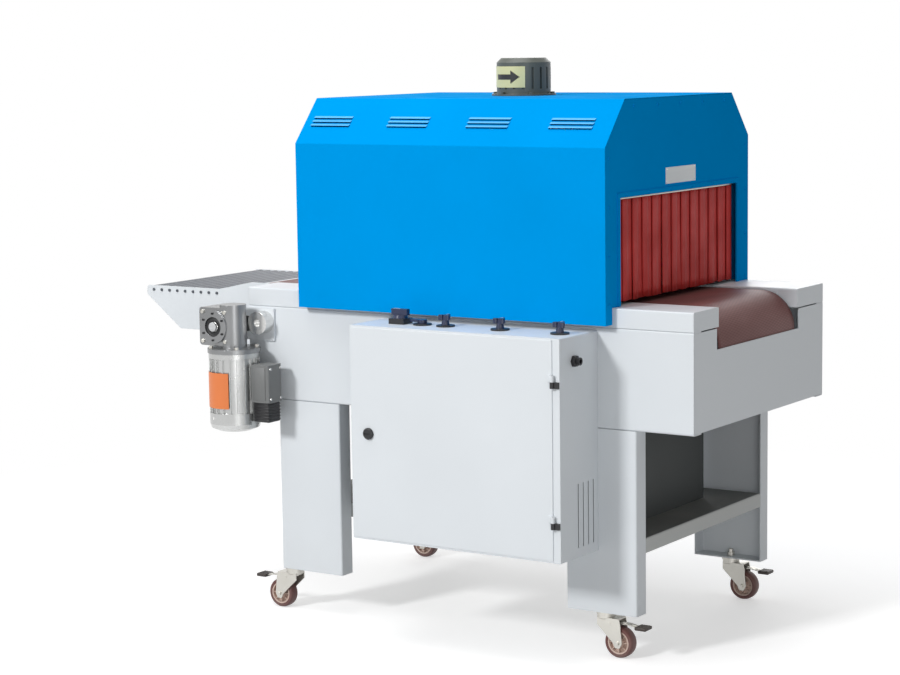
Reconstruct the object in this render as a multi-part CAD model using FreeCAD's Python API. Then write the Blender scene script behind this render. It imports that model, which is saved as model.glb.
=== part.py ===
import FreeCAD, Part
import math
import os

Vector = FreeCAD.Vector
os.makedirs("parts", exist_ok=True)

# Lengths are millimetres. While a piece is drawn, x runs along the conveyor from the middle of the
# hood towards the infeed end, y runs from the operator's side to the back, and z is height over the
# floor. On saving, every piece moves by the same amount, so that the origin lies on the floor under
# the middle of the whole machine.

# Sheet and general fits
sheet = 2.0
panel_sheet = 3.0
bend = 2.0
seat = 0.3
running = 0.1

# Hood
hood_length = 942.0
hood_depth = 796.0
hood_height = 555.0
hood_chamfer_width = 101.0
hood_chamfer_height = 117.0
hood_half = hood_length / 2
hood_y = hood_depth / 2
mouth_half = 326.0
mouth_height = 270.0
trim_width = 12.0
trim_proud = 3.0
louvre_fields = 4
louvre_rows = 3
louvre_field_pitch = 245.0
louvre_field_shift = -16.0
louvre_length = 125.0
louvre_row_pitch = 13.0
louvre_depth = 11.0
louvre_height = 4.0
louvre_skin = 1.2
fan_hole_radius = 25.0

# Main frame; the hood reaches over it at the front and at the back
hood_over_front = 33.0
hood_over_back = 5.0
frame_outfeed = -667.0
frame_infeed = 696.0
frame_front = hood_over_front - hood_y
frame_back = hood_y - hood_over_back
skirt_height = 255.0
skirt_lip = 40.0
outfeed_panel_height = 99.0

# Belt, and what lies beside it
belt_top = 885.0
belt_thickness = 3.0
belt_half_width = 222.0
rail_gap = 8.0
notch_gap = 18.0
table_gap = 28.0
rail_inner = belt_half_width + rail_gap
notch_half = belt_half_width + notch_gap
table_half = belt_half_width + table_gap

# Rails beside the belt
rail_over_belt = 5.0
rail_height = 49.0
rail_top = belt_top + rail_over_belt
skirt_top = rail_top - rail_height
skirt_bottom = skirt_top - skirt_height
hood_bottom = skirt_top + 7.0
hood_top = hood_bottom + hood_height
mouth_top = rail_top + mouth_height

# Conveyor
drum_radius = 92.0
drum_wall = 6.0
drum_shaft = 12.5
drum_end_gap = 2.0
drive_overhang = 36.0
infeed_inset = 99.0
drive_x = frame_outfeed - drive_overhang
infeed_x = frame_infeed - infeed_inset
drum_z = belt_top - belt_thickness - drum_radius
infeed_panel_top = drum_z - 5.0
bed_thickness = 3.0
bed_gap = 67.0
bed_outfeed = drive_x + bed_gap
bed_infeed = infeed_x - bed_gap
bed_lip = 22.0
bed_edge = 4.0
hanger_depth = 36.0
hanger_width = 40.0
hanger_inset = 153.0
hanger_places = (bed_outfeed + hanger_inset, (bed_outfeed + bed_infeed) / 2, bed_infeed - hanger_inset)

# Flange bearings of the drums
flange_radius = 30.0
boss_radius = 26.0
boss_taper = 3.0
bearing_flange = 8.0
bearing_depth = 20.0
bracket_sheet = 5.0
bracket_half = 42.0
bracket_drop = 44.0
bracket_top_gap = 8.0
cheek_thickness = 6.0
cheek_half_height = 44.0
cheek_overhang = 48.0
cheek_seat = 90.0
shaft_clear = 2.0

# Legs
leg_width = 202.0
leg_depth = 48.0
leg_outfeed = frame_outfeed + 96.0
leg_infeed = frame_infeed - 361.0
foot_plate = 4.0
stem_radius = 6.0
stem_hole = 6.5
stem_length = 22.0

# Lower tray
tray_bottom = 270.0
tray_height = 38.0
tray_top = tray_bottom + tray_height

# Outfeed roller table
table_tip = -1125.0
plate_thickness = 4.0
plate_corner = 6.0
table_drop = 21.0
table_top = belt_top - table_drop
ramp_start = frame_outfeed - 77.0
ramp_end = frame_outfeed - 194.0
plate_high = belt_top + 3.0
plate_depth = 120.0
plate_bottom = table_top - plate_depth
plate_low_corner = table_tip + 121.0
tip_bottom = table_top - 26.0
tip_radius = 10.0
cheek_bottom = plate_bottom - 44.0
cheek_start = ramp_end - 44.0
plate_lip = 34.0
roller_count = 9
roller_inset = 26.0
roller_first = table_tip + roller_inset
roller_pitch = 28.9
roller_radius = 12.0
roller_z = table_top - roller_radius
axle_radius = 4.0
axle_stub = 2.5
roller_end_gap = 3.0
transfer_sheet = 3.0
transfer_drop = 2.0
transfer_outfeed = roller_first + (roller_count - 1) * roller_pitch + roller_radius + 1.0
transfer_infeed = drive_x - drum_radius + 7.0
tie_radius = 10.0
tie_x = table_tip + 105.0
tie_z = table_top - 64.0

# Hot chamber
liner_half = mouth_half + 19.0
liner_end = hood_half - 27.0
liner_height = 350.0
liner_top = rail_top + liner_height
inlet_radius = 95.0
vent_count = 6
vent_pitch = 130.0
vent_length = 90.0
vent_height = 12.0
vent_rise = 30.0
heater_radius = 6.0
heater_gap = 26.0
heater_y = liner_half + heater_gap
heater_low = rail_top + 70.0
heater_rise = 70.0
heater_pairs = 2
heater_pair_pitch = 110.0
heater_end = liner_end - heater_rise
bracket_width = 6.0
bracket_margin = 20.0

# Strip curtains
curtain_x = hood_half - 13.0
curtain_thickness = 6.0
curtain_half = mouth_half - 8.0
curtain_bottom = rail_top + 6.0
curtain_pivot = mouth_top - 4.0
strip_count = 16
strip_slit = 1.2
strip_tie = 26.0
bar_height = 20.0
bar_depth = 14.0
bar_foot = 4.0

# Circulation fan
fan_x = 0.0
fan_y = 0.0
fan_flange_radius = 86.0
fan_flange = 5.0
fan_motor_radius = 72.5
fan_motor_height = 95.0
fan_bevel = 12.0
fan_slots = 18
fan_slot_width = 6.0
fan_slot_depth = 5.0
fan_slot_margin = 13.0
fan_shaft_radius = 8.0
fan_shaft_in_motor = 40.0
wheel_radius = 130.0
wheel_height = 52.0
wheel_clear = 20.0
wheel_back = 3.0
wheel_ring = 2.0
wheel_hub = 24.0
blade_count = 12
blade_length = 46.0
blade_thickness = 2.0
blade_curve = 62.0
blade_sweep = 46.0
blade_lean = 62.0

# Electrical cabinet
cabinet_left = -197.0
cabinet_right = 428.0
cabinet_depth = 186.0
cabinet_front = frame_front - cabinet_depth
cabinet_bottom = 275.0
cabinet_top = skirt_top - 9.0
cabinet_rear = 216.0
cabinet_neck = leg_infeed - 5.0
cabinet_edge = 3.0
door_margin = 5.0
hinge_column = 22.0
door_left = cabinet_left + door_margin
door_right = cabinet_right - hinge_column
door_low = cabinet_bottom + door_margin
door_high = cabinet_top - door_margin
door_depth = 16.0
door_rebate = 9.0
door_gap = 3.0
door_round = 1.2
hinge_play = 4.0
hinge_x = door_right + 3.5
hinge_radius = 5.5
hinge_height = 32.0
hinge_inset = 97.0
hinge_leaf = 15.0
pin_radius = 2.5
hinge_heights = (door_low + hinge_inset, door_high - hinge_inset - 4)
lock_x = door_left + 51.0
lock_z = (door_low + door_high) / 2
lock_radius = 15.0
lock_proud = 8.0
lock_bevel = 3.0
lock_barrel = 10.0
lock_depth = 20.0
lock_slot = 3.0
cam_half = 9.0
cam_sheet = 3.0
cam_reach = 46.0
opening_lip = 14.0
cable_hole = 20.0
cable_hole_x = cabinet_left + 30.0
cable_hole_z = skirt_bottom + 114.0
slot_count = 4
slot_pitch = 25.0
slot_inset = 87.0
slot_low = cabinet_bottom + 25.0
slot_length = 161.0
slot_width = 5.0
gland_inset = 68.0
gland_drop = 62.0
gland_bore = 6.0
gland_outer = 13.0
gland_neck = 10.0
gland_length = 20.0
gland_y = cabinet_front + gland_inset
gland_z = cabinet_top - gland_drop

# Control gear on its mounting plate
plate_margin = 60.0
gear_plate_low = cabinet_bottom + 320.0
gear_plate_high = cabinet_top - 40.0
contactor = (46.0, 78.0, 74.0)
contactor_pitch = 56.0
contactor_count = 3
breaker = (18.0, 66.0, 50.0)
breaker_pitch = 30.0
breaker_count = 4
speed_drive = (100.0, 92.0, 145.0)
gear_row = 30.0

# Controls on top of the cabinet
control_inset = 83.0
control_y = cabinet_front + control_inset
switch_x = cabinet_left + 104.0
lever_x = cabinet_left + 172.0
knob_places = (cabinet_left + 242.0, cabinet_left + 405.0, cabinet_left + 578.0)
switch_base = (46.0, 42.0, 14.0)
switch_hub = 20.0
switch_hub_height = 8.0
switch_grip = (48.0, 14.0, 16.0)
lever_hub = 12.0
lever_hub_height = 10.0
lever_reach = 32.0
lever_half = 6.0
lever_rise = 3.0
knob_plate = 24.0
knob_plate_height = 4.0
knob_radius = 15.0
knob_height = 26.0

# Gearbox and motor of the belt drive
gear_stand = 75.0
gear_y = frame_front - gear_stand
gear_half_depth = 40.0
gear_half_width = 50.0
gear_half_height = 52.0
gear_cover_radius = 45.0
gear_cover = 6.0
gear_corner = 9.0
gear_recess = 27.0
gear_recess_depth = 12.0
gear_ribs = 5
gear_rib_pitch = 13.0
gear_rib_height = 4.0
gear_rib_width = 3.0
worm_offset = 40.0
worm_radius = 36.0
worm_over = 60.0
motor_radius = 69.5
motor_flange_radius = 72.0
motor_flange = 12.0
motor_top = drum_z - 70.0
motor_length = 213.0
motor_bottom = motor_top - motor_length
motor_bell = 14.0
motor_cowl = 50.0
motor_fins = 20
fin_height = 6.0
fin_width = 3.0
shaft_radius = 12.5
junction_reach = 130.0
junction_height = 102.0
junction_low = motor_bottom + 82.0
junction_depth = 62.0
junction_shift = 12.0
junction_pad = 2.0
capacitor_height = 54.0
capacitor_inset = 6.0

# Torque arm
eye_x = drive_x + 94.0
eye_z = drum_z + 7.0
eye_radius = 31.0
eye_proud = 6.0
eye_bore = 10.0
arm_thickness = 6.0
arm_ring = 44.0
arm_root_half = 26.0
arm_end_half = 18.0

# Casters
wheel_rolling_radius = 40.0
caster_trail = 42.0
caster_over_wheel = 35.0
leg_bottom = 2 * wheel_rolling_radius + caster_over_wheel
caster_inset_outfeed = 25.0
tread_half = 15.0
fork_inner = 17.0
fork_sheet = 3.0
raceway_radius = 25.0
raceway = 6.0
crown_radius = 23.0
crown_height = 12.7
crown_bevel = 4.0
crown_top = leg_bottom - raceway - seat
crown_bottom = crown_top - crown_height
rivet_radius = 6.0
rivet_head = 10.0
rivet_head_height = 4.7
caster_nut = 10.0
caster_nut_height = 9.0
fork_back = 16.0
fork_brow = 46.0
fork_foot = 13.0
wheel_axle = 5.0
axle_head = 5.0
hub_radius = 12.0
rim_width = 11.0
web_recess = 5.0
pedal_pivot_x = 20.0
pedal_over_wheel = 8.0
pedal_pivot_z = 2 * wheel_rolling_radius + pedal_over_wheel
pedal_pin = 3.0
pedal_hub = 6.0
pedal_half = 11.0
pedal_sheet = 4.0
pedal_bend = 46.0
pedal_tip = 102.0
pedal_drop = 7.0
toe_length = 30.0
toe_half = 19.0
toe_height = 8.0
toe_round = 3.0

hinge_front = cabinet_front - seat - 2 * hinge_radius
centre_x = (table_tip + frame_infeed) / 2
centre_y = (hinge_front + hood_y) / 2
to_machine_origin = Vector(-centre_x, -centre_y, 0)


def save(name, *solids):
    """Move the piece to the machine's own origin and write it."""
    shape = solids[0] if len(solids) == 1 else Part.makeCompound(list(solids))
    shape = shape.copy()
    shape.translate(to_machine_origin)
    shape.exportStep("parts/" + name + ".step")


def block(x0, x1, y0, y1, z0, z1):
    return Part.makeBox(x1 - x0, y1 - y0, z1 - z0, Vector(x0, y0, z0))


def rod_x(radius, x0, x1, y, z):
    return Part.makeCylinder(radius, x1 - x0, Vector(x0, y, z), Vector(1, 0, 0))


def rod_y(radius, y0, y1, x, z):
    return Part.makeCylinder(radius, y1 - y0, Vector(x, y0, z), Vector(0, 1, 0))


def rod_z(radius, z0, z1, x, y):
    return Part.makeCylinder(radius, z1 - z0, Vector(x, y, z0), Vector(0, 0, 1))


def face_of(corners):
    return Part.Face(Part.makePolygon(corners + [corners[0]]))


def bent_face(points, placed):
    """A face from (a, b) corners; a third number is the radius that rounds the corner."""
    corners = [Vector(point[0], point[1], 0) for point in points]
    rounds = []
    for i, point in enumerate(points):
        corner = corners[i]
        radius = point[2] if len(point) > 2 else 0
        if not radius:
            rounds.append((corner, None, corner))
            continue
        before = (corners[i - 1] - corner).normalize()
        after = (corners[(i + 1) % len(corners)] - corner).normalize()
        half = before.getAngle(after) / 2
        reach = radius / math.tan(half)
        inwards = (before + after).normalize()
        rounds.append((corner + before * reach, corner + inwards * (radius / math.sin(half) - radius),
                       corner + after * reach))
    edges = []
    for i, (start, middle, end) in enumerate(rounds):
        if middle is not None:
            edges.append(Part.Arc(placed(start), placed(middle), placed(end)).toShape())
        following = rounds[(i + 1) % len(rounds)][0]
        edges.append(Part.makeLine(placed(end), placed(following)))
    return Part.Face(Part.Wire(edges))


def prism_x(points, x0, x1):
    """Points are (y, z)."""
    return bent_face(points, lambda p: Vector(x0, p.x, p.y)).extrude(Vector(x1 - x0, 0, 0))


def prism_y(points, y0, y1):
    """Points are (x, z)."""
    return bent_face(points, lambda p: Vector(p.x, y0, p.y)).extrude(Vector(0, y1 - y0, 0))


def prism_z(points, z0, z1):
    """Points are (x, y)."""
    return bent_face(points, lambda p: Vector(p.x, p.y, z0)).extrude(Vector(0, 0, z1 - z0))


def turned_z(profile, x, y):
    """A solid of revolution about a vertical line; the profile is (radius, z)."""
    corners = [Vector(r, 0, z) for r, z in profile]
    solid = face_of(corners).revolve(Vector(0, 0, 0), Vector(0, 0, 1), 360)
    solid.translate(Vector(x, y, 0))
    return solid


def turned_y(profile, x, z):
    """A solid of revolution about a line along y; the profile is (radius, y)."""
    corners = [Vector(r, y, 0) for r, y in profile]
    solid = face_of(corners).revolve(Vector(0, 0, 0), Vector(0, 1, 0), 360)
    solid.translate(Vector(x, 0, z))
    return solid


def folded(path, thickness):
    """Outline of a bent sheet: the path is its outer face, the metal lies to the left of it."""
    normals = []
    for (ax, ay), (bx, by) in zip(path, path[1:]):
        length = math.hypot(bx - ax, by - ay)
        normals.append((-(by - ay) / length, (bx - ax) / length))
    outer = []
    inner = []
    for i, (px, py) in enumerate(path):
        before = normals[max(i - 1, 0)]
        after = normals[min(i, len(normals) - 1)]
        scale = thickness / (1 + before[0] * after[0] + before[1] * after[1])
        at_end = i in (0, len(path) - 1)
        outer.append((px, py, 0 if at_end else bend + thickness))
        inner.append((px + (before[0] + after[0]) * scale, py + (before[1] + after[1]) * scale,
                      0 if at_end else bend))
    return outer + inner[::-1]


def fused(shapes):
    result = shapes[0]
    for shape in shapes[1:]:
        result = result.fuse(shape)
    return result.removeSplitter()


def edges_at(shape, z):
    """The edges that lie flat at height z."""
    return [e for e in shape.Edges if e.BoundBox.ZMin > z - seat and e.BoundBox.ZMax < z + seat]


def mirrored_y(shape):
    return shape.mirror(Vector(0, 0, 0), Vector(0, 1, 0))


# Skirts: long panels with a lip bent inwards along the top and the bottom
def skirt(y_face, inward):
    lip = y_face + inward * skirt_lip
    path = [(lip, skirt_top), (y_face, skirt_top), (y_face, skirt_bottom), (lip, skirt_bottom)]
    if inward < 0:
        path = path[::-1]
    return prism_x(folded(path, panel_sheet), frame_outfeed, frame_infeed)


def skirts():
    front = skirt(frame_front, 1)
    wiring = rod_y(cable_hole, frame_front - 1, frame_front + panel_sheet + 1, cable_hole_x, cable_hole_z)
    save("skirt_front", front.cut(wiring))
    save("skirt_back", skirt(frame_back, -1))


# End panels close the frame between the skirts and leave a notch for the belt
def end_panel(x_low, x_high, notch_low):
    y0 = frame_front + panel_sheet + seat
    y1 = frame_back - panel_sheet - seat
    low = skirt_bottom + panel_sheet + seat
    high = skirt_top - panel_sheet - seat
    outline = [(y0, low, bend), (y1, low, bend), (y1, high, bend), (notch_half, high),
               (notch_half, notch_low), (-notch_half, notch_low), (-notch_half, high), (y0, high, bend)]
    return prism_x(outline, x_low, x_high)


def end_panels():
    infeed = end_panel(frame_infeed - panel_sheet, frame_infeed, infeed_panel_top)
    outfeed = end_panel(frame_outfeed, frame_outfeed + panel_sheet, skirt_bottom + outfeed_panel_height)
    save("end_panels", infeed, outfeed)


# Rails: box sections over the skirts, open underneath, closed at both ends
def rail(y_outer, y_inner):
    path = [(y_outer, skirt_top), (y_outer, rail_top), (y_inner, rail_top), (y_inner, skirt_top)]
    if y_outer < y_inner:
        path = path[::-1]
    channel = prism_x(folded(path, sheet), frame_outfeed + sheet, frame_infeed - sheet)
    outer_bend = bend + sheet
    section = [(y_outer, skirt_top), (y_outer, rail_top, outer_bend), (y_inner, rail_top, outer_bend),
               (y_inner, skirt_top)]
    caps = [prism_x(section, x, x + sheet) for x in (frame_outfeed, frame_infeed - sheet)]
    return [channel] + caps


def rails():
    save("side_rails", *rail(frame_front, -rail_inner), *rail(frame_back, rail_inner))


# Legs: wide channels, open to the inside, with a foot plate and a head plate
def caster_place(x_low):
    if x_low == leg_outfeed:
        return x_low + caster_inset_outfeed
    return x_low + leg_width / 2


def leg(x_low, y_face, inward):
    x_high = x_low + leg_width
    y_tip = y_face + inward * leg_depth
    path = [(x_high, y_tip), (x_high, y_face), (x_low, y_face), (x_low, y_tip)]
    if inward > 0:
        path = path[::-1]
    top = skirt_bottom - seat
    channel = prism_z(folded(path, panel_sheet), leg_bottom, top)
    outer_bend = bend + panel_sheet
    section = [(x_low, y_tip), (x_low, y_face, outer_bend), (x_high, y_face, outer_bend), (x_high, y_tip)]
    foot = prism_z(section, leg_bottom, leg_bottom + foot_plate)
    head = prism_z(section, top - foot_plate, top)
    solid = fused([channel, foot, head])
    hole = rod_z(stem_hole, leg_bottom - 1, leg_bottom + foot_plate + 1,
                 caster_place(x_low), y_face + inward * leg_depth / 2)
    return solid.cut(hole)


leg_places = {
    "front_outfeed": (leg_outfeed, frame_front, 1),
    "front_infeed": (leg_infeed, frame_front, 1),
    "back_outfeed": (leg_outfeed, frame_back, -1),
    "back_infeed": (leg_infeed, frame_back, -1),
}


def legs():
    for name, place in leg_places.items():
        save("leg_" + name, leg(*place))


# Lower tray between the legs, a plate with its edges turned down
def lower_tray():
    y0 = frame_front + leg_depth + seat
    y1 = frame_back - leg_depth - seat
    x0 = leg_outfeed
    x1 = leg_infeed + leg_width
    pan = block(x0, x1, y0, y1, tray_bottom, tray_top)
    pan = pan.makeFillet(bend + panel_sheet, edges_at(pan, tray_top))
    ceiling = tray_top - panel_sheet
    hollow = block(x0 + panel_sheet, x1 - panel_sheet, y0 + panel_sheet, y1 - panel_sheet,
                   tray_bottom - 1, ceiling)
    hollow = hollow.makeFillet(bend, edges_at(hollow, ceiling))
    save("lower_tray", pan.cut(hollow))


# Belt: a closed loop round both drums
def belt_loop(radius, y0, y1):
    top = drum_z + radius
    low = drum_z - radius
    left_end = Vector(drive_x - radius, 0, drum_z)
    right_end = Vector(infeed_x + radius, 0, drum_z)
    a = Vector(drive_x, 0, top)
    b = Vector(infeed_x, 0, top)
    c = Vector(infeed_x, 0, low)
    d = Vector(drive_x, 0, low)
    edges = [Part.makeLine(a, b), Part.Arc(b, right_end, c).toShape(),
             Part.makeLine(c, d), Part.Arc(d, left_end, a).toShape()]
    face = Part.Face(Part.Wire(edges))
    face.translate(Vector(0, y0, 0))
    return face.extrude(Vector(0, y1 - y0, 0))


def belt():
    outer = belt_loop(drum_radius + belt_thickness, -belt_half_width, belt_half_width)
    inner = belt_loop(drum_radius + seat, -belt_half_width - 1, belt_half_width + 1)
    save("conveyor_belt", outer.cut(inner))


# Bed: a plate under the carrying run with turned-down edges, on cross members between the rails
def belt_bed():
    top = belt_top - belt_thickness - seat
    half = belt_half_width - bed_edge
    section = [(-half, top - bed_lip), (-half, top), (half, top), (half, top - bed_lip)]
    plate = prism_x(folded(section[::-1], bed_thickness), bed_outfeed, bed_infeed)
    notches = [block(bed_outfeed, bed_infeed, y - bed_thickness, y + bed_thickness, top - bed_lip - 1, top)
               for y in (-half, half)]
    reach = rail_inner - seat
    members = []
    for x in hanger_places:
        path = [(x + hanger_width / 2, top - hanger_depth), (x + hanger_width / 2, top - bed_thickness),
                (x - hanger_width / 2, top - bed_thickness), (x - hanger_width / 2, top - hanger_depth)]
        members.append(prism_y(folded(path, panel_sheet), -reach, reach).cut(notches))
    save("belt_bed", plate, *members)


# Drums: a tube closed by end discs on a through shaft
def drum(x, y_low, y_high):
    half = belt_half_width - drum_end_gap
    shell = rod_y(drum_radius, -half, half, x, drum_z)
    hollow = rod_y(drum_radius - drum_wall, -half + drum_wall, half - drum_wall, x, drum_z)
    shaft = rod_y(drum_shaft, y_low, y_high, x, drum_z)
    return fused([shell.cut(hollow), shaft])


def bearing(x, y_seat, outward):
    """A flange bearing whose flat back sits on a plate at y_seat."""
    step = y_seat + outward * bearing_flange
    end = y_seat + outward * bearing_depth
    bore = drum_shaft + running
    profile = [(bore, y_seat), (flange_radius, y_seat), (flange_radius, step), (boss_radius, step),
               (boss_radius - boss_taper, end), (bore, end)]
    return turned_y(profile, x, drum_z)


def conveyor():
    outer_end = table_half + plate_thickness + bearing_depth + shaft_clear
    gear_front = gear_y - gear_half_depth - shaft_clear
    inner = rail_inner - seat
    save("drive_drum", drum(drive_x, gear_front, outer_end))
    reach = inner + bearing_depth - bracket_sheet + 1
    save("infeed_drum", drum(infeed_x, -reach, reach))
    pieces = []
    for side in (-1, 1):
        y0, y1 = sorted((side * (inner - bracket_sheet), side * inner))
        arm = block(infeed_x - bracket_half, infeed_x + bracket_half, y0, y1, drum_z - bracket_drop,
                    rail_top - bracket_top_gap)
        arm = arm.cut(rod_y(drum_shaft + shaft_clear, y0 - 1, y1 + 1, infeed_x, drum_z))
        pieces.append(arm.fuse(bearing(infeed_x, side * inner, side)).removeSplitter())
    for side in (-1, 1):
        pieces.append(bearing(drive_x, side * (table_half + plate_thickness), side))
    cheek_low = drum_z - cheek_half_height
    cheek_high = drum_z + cheek_half_height
    cheek_end = frame_outfeed + cheek_seat
    y_seat = frame_front - seat
    cheek = prism_y([(drive_x - cheek_overhang, cheek_low, plate_corner), (cheek_end, cheek_low),
                     (cheek_end, cheek_high), (drive_x - cheek_overhang, cheek_high, plate_corner)],
                    y_seat - cheek_thickness, y_seat)
    cheek = cheek.cut(rod_y(drum_shaft + shaft_clear, y_seat - cheek_thickness - 1, y_seat + 1,
                            drive_x, drum_z))
    outboard = bearing(drive_x, y_seat - cheek_thickness, -1)
    pieces.append(cheek.fuse(outboard).removeSplitter())
    save("drum_bearings", *pieces)


# Roller table at the outfeed: two cut plates, a transfer plate and a tie rod
def table_plate(y0, y1):
    root = frame_outfeed - seat
    outline = [(root, cheek_bottom), (root, plate_high), (ramp_start, plate_high, plate_corner),
               (ramp_end, table_top, plate_corner), (table_tip, table_top, tip_radius),
               (table_tip, tip_bottom, plate_corner), (plate_low_corner, plate_bottom, tip_radius),
               (cheek_start, plate_bottom, tip_radius), (ramp_end, cheek_bottom, tip_radius)]
    return prism_y(outline, y0, y1)


def table_frame():
    outer = table_half + plate_thickness
    plates = []
    for side in (-1, 1):
        y0, y1 = sorted((side * table_half, side * outer))
        l0, l1 = sorted((side * outer, side * (outer + plate_lip)))
        plate = table_plate(y0, y1)
        root = frame_outfeed - seat
        lip = block(root - plate_thickness, root, l0, l1, cheek_bottom, skirt_top - plate_corner)
        plate = plate.fuse(lip)
        plate = plate.cut(rod_y(drum_shaft + shaft_clear, y0 - 1, y1 + 1, drive_x, drum_z))
        for i in range(roller_count):
            x = roller_first + i * roller_pitch
            plate = plate.cut(rod_y(axle_radius + running, y0 - 1, y1 + 1, x, roller_z))
        plates.append(plate)
    transfer_top = table_top - transfer_drop
    transfer = block(transfer_outfeed, transfer_infeed, -table_half, table_half,
                     transfer_top - transfer_sheet, transfer_top)
    tie = rod_y(tie_radius, -table_half, table_half, tie_x, tie_z)
    save("outfeed_frame", fused(plates + [transfer, tie]))


def rollers():
    half = table_half - roller_end_gap
    stub = table_half + plate_thickness + axle_stub
    for i in range(roller_count):
        x = roller_first + i * roller_pitch
        tube = rod_y(roller_radius, -half, half, x, roller_z)
        axle = rod_y(axle_radius, -stub, stub, x, roller_z)
        save("outfeed_roller_%d" % (i + 1), tube.fuse(axle).removeSplitter())


# Hood: one folded sheet with pressed louvres on both slopes
def hood_profile():
    run = hood_chamfer_width
    drop = hood_chamfer_height
    return [(-hood_y, hood_bottom), (-hood_y, hood_top - drop), (-hood_y + run, hood_top),
            (hood_y - run, hood_top), (hood_y, hood_top - drop), (hood_y, hood_bottom)]


def on_slope(along, out):
    """A point of the front slope: distance up it from its middle, and height over it."""
    length = math.hypot(hood_chamfer_width, hood_chamfer_height)
    uy = hood_chamfer_width / length
    uz = hood_chamfer_height / length
    y = -hood_y + hood_chamfer_width / 2 + along * uy - out * uz
    z = hood_top - hood_chamfer_height / 2 + along * uz + out * uy
    return y, z


def louvre(x, along):
    low = along
    high = along + louvre_depth
    outer = prism_x([on_slope(low, -sheet / 2), on_slope(low, louvre_height), on_slope(high, -sheet / 2)],
                    x - louvre_length / 2, x + louvre_length / 2)
    skin = louvre_skin
    inner = prism_x([on_slope(low - 1, -2 * sheet), on_slope(low - 1, louvre_height - skin),
                     on_slope(low, louvre_height - skin), on_slope(high - 2 * skin, -2 * sheet)],
                    x - louvre_length / 2 + skin, x + louvre_length / 2 - skin)
    return outer, inner


def hood():
    body = prism_x(folded(hood_profile()[::-1], sheet), -hood_half, hood_half)
    raised = []
    openings = []
    for field in range(louvre_fields):
        x = louvre_field_shift + (field - (louvre_fields - 1) / 2) * louvre_field_pitch
        for row in range(louvre_rows):
            along = (row - louvre_rows / 2) * louvre_row_pitch
            outer, inner = louvre(x, along)
            raised += [outer, mirrored_y(outer)]
            openings += [inner, mirrored_y(inner)]
    body = body.fuse(raised).removeSplitter()
    body = body.cut(openings)
    body = body.cut(rod_z(fan_hole_radius, hood_top - 10, hood_top + 10, fan_x, fan_y))
    save("hood_cover", body)


def hood_end(side):
    """End wall inside the cover, an arch over the rails and the belt, with a raised trim."""
    inset = sheet + seat
    run = hood_chamfer_width
    drop = hood_chamfer_height
    slope = math.hypot(run, drop)
    lean = inset * (slope - drop) / run
    rise = inset * (slope - run) / drop
    top = hood_top - inset
    edge = hood_y - inset
    shoulder = hood_top - drop - lean
    outline = [(-edge, hood_bottom), (-edge, shoulder, bend), (-hood_y + run + rise, top, bend),
               (hood_y - run - rise, top, bend), (edge, shoulder, bend), (edge, hood_bottom),
               (frame_back + seat, hood_bottom), (frame_back + seat, rail_top + seat),
               (mouth_half, rail_top + seat), (mouth_half, mouth_top), (-mouth_half, mouth_top),
               (-mouth_half, rail_top + seat), (frame_front - seat, rail_top + seat),
               (frame_front - seat, hood_bottom)]
    x0, x1 = sorted((side * (hood_half - sheet), side * hood_half))
    wall = prism_x(outline, x0, x1)
    t0, t1 = sorted((side * hood_half, side * (hood_half + trim_proud)))
    out = mouth_half + trim_width
    trim = prism_x([(-out, rail_top + seat), (-out, mouth_top + trim_width), (out, mouth_top + trim_width),
                    (out, rail_top + seat), (mouth_half, rail_top + seat), (mouth_half, mouth_top),
                    (-mouth_half, mouth_top), (-mouth_half, rail_top + seat)], t0, t1)
    return wall.fuse(trim)


def hood_ends():
    save("hood_end_infeed", hood_end(1))
    save("hood_end_outfeed", hood_end(-1))


# Hot chamber: an inner duct that stands on the rails, with the fan's inlet in its ceiling
def chamber():
    low = rail_top + seat
    path = [(liner_half, low), (liner_half, liner_top), (-liner_half, liner_top), (-liner_half, low)]
    duct = prism_x(folded(path, sheet), -liner_end, liner_end)
    duct = duct.cut(rod_z(inlet_radius, liner_top - 10, liner_top + 10, fan_x, fan_y))
    slots = []
    for i in range(vent_count):
        x = (i - (vent_count - 1) / 2) * vent_pitch
        for side in (-1, 1):
            y0, y1 = sorted((side * (liner_half - 2 * sheet), side * (liner_half + sheet)))
            slots.append(block(x - vent_length / 2, x + vent_length / 2, y0, y1, low + vent_rise,
                               low + vent_rise + vent_height))
    save("chamber_liner", duct.cut(slots))


def hairpin(y, z):
    lower = rod_x(heater_radius, -heater_end, heater_end, y, z)
    upper = rod_x(heater_radius, -heater_end, heater_end, y, z + heater_rise)
    turn = Part.makeTorus(heater_rise / 2, heater_radius, Vector(heater_end, y, z + heater_rise / 2),
                          Vector(0, 1, 0), 0, 360, 180)
    turn.rotate(Vector(heater_end, y, z + heater_rise / 2), Vector(0, 1, 0), 90)
    return lower.fuse(upper).fuse(turn)


def heaters():
    banks = []
    for side in (-1, 1):
        y = side * heater_y
        wall = side * (liner_half + seat)
        outer = side * (heater_y + heater_radius + bracket_width)
        y0, y1 = sorted((wall, outer))
        top = heater_low + (heater_pairs - 1) * heater_pair_pitch + heater_rise + bracket_margin
        bank = None
        for x in (-heater_end + bracket_margin, heater_end - bracket_margin - bracket_width):
            bracket = block(x, x + bracket_width, y0, y1, heater_low - bracket_margin, top)
            bank = bracket if bank is None else bank.fuse(bracket)
        for i in range(heater_pairs):
            bank = bank.fuse(hairpin(y, heater_low + i * heater_pair_pitch))
        banks.append(bank)
    save("heater_bank", *banks)


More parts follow.
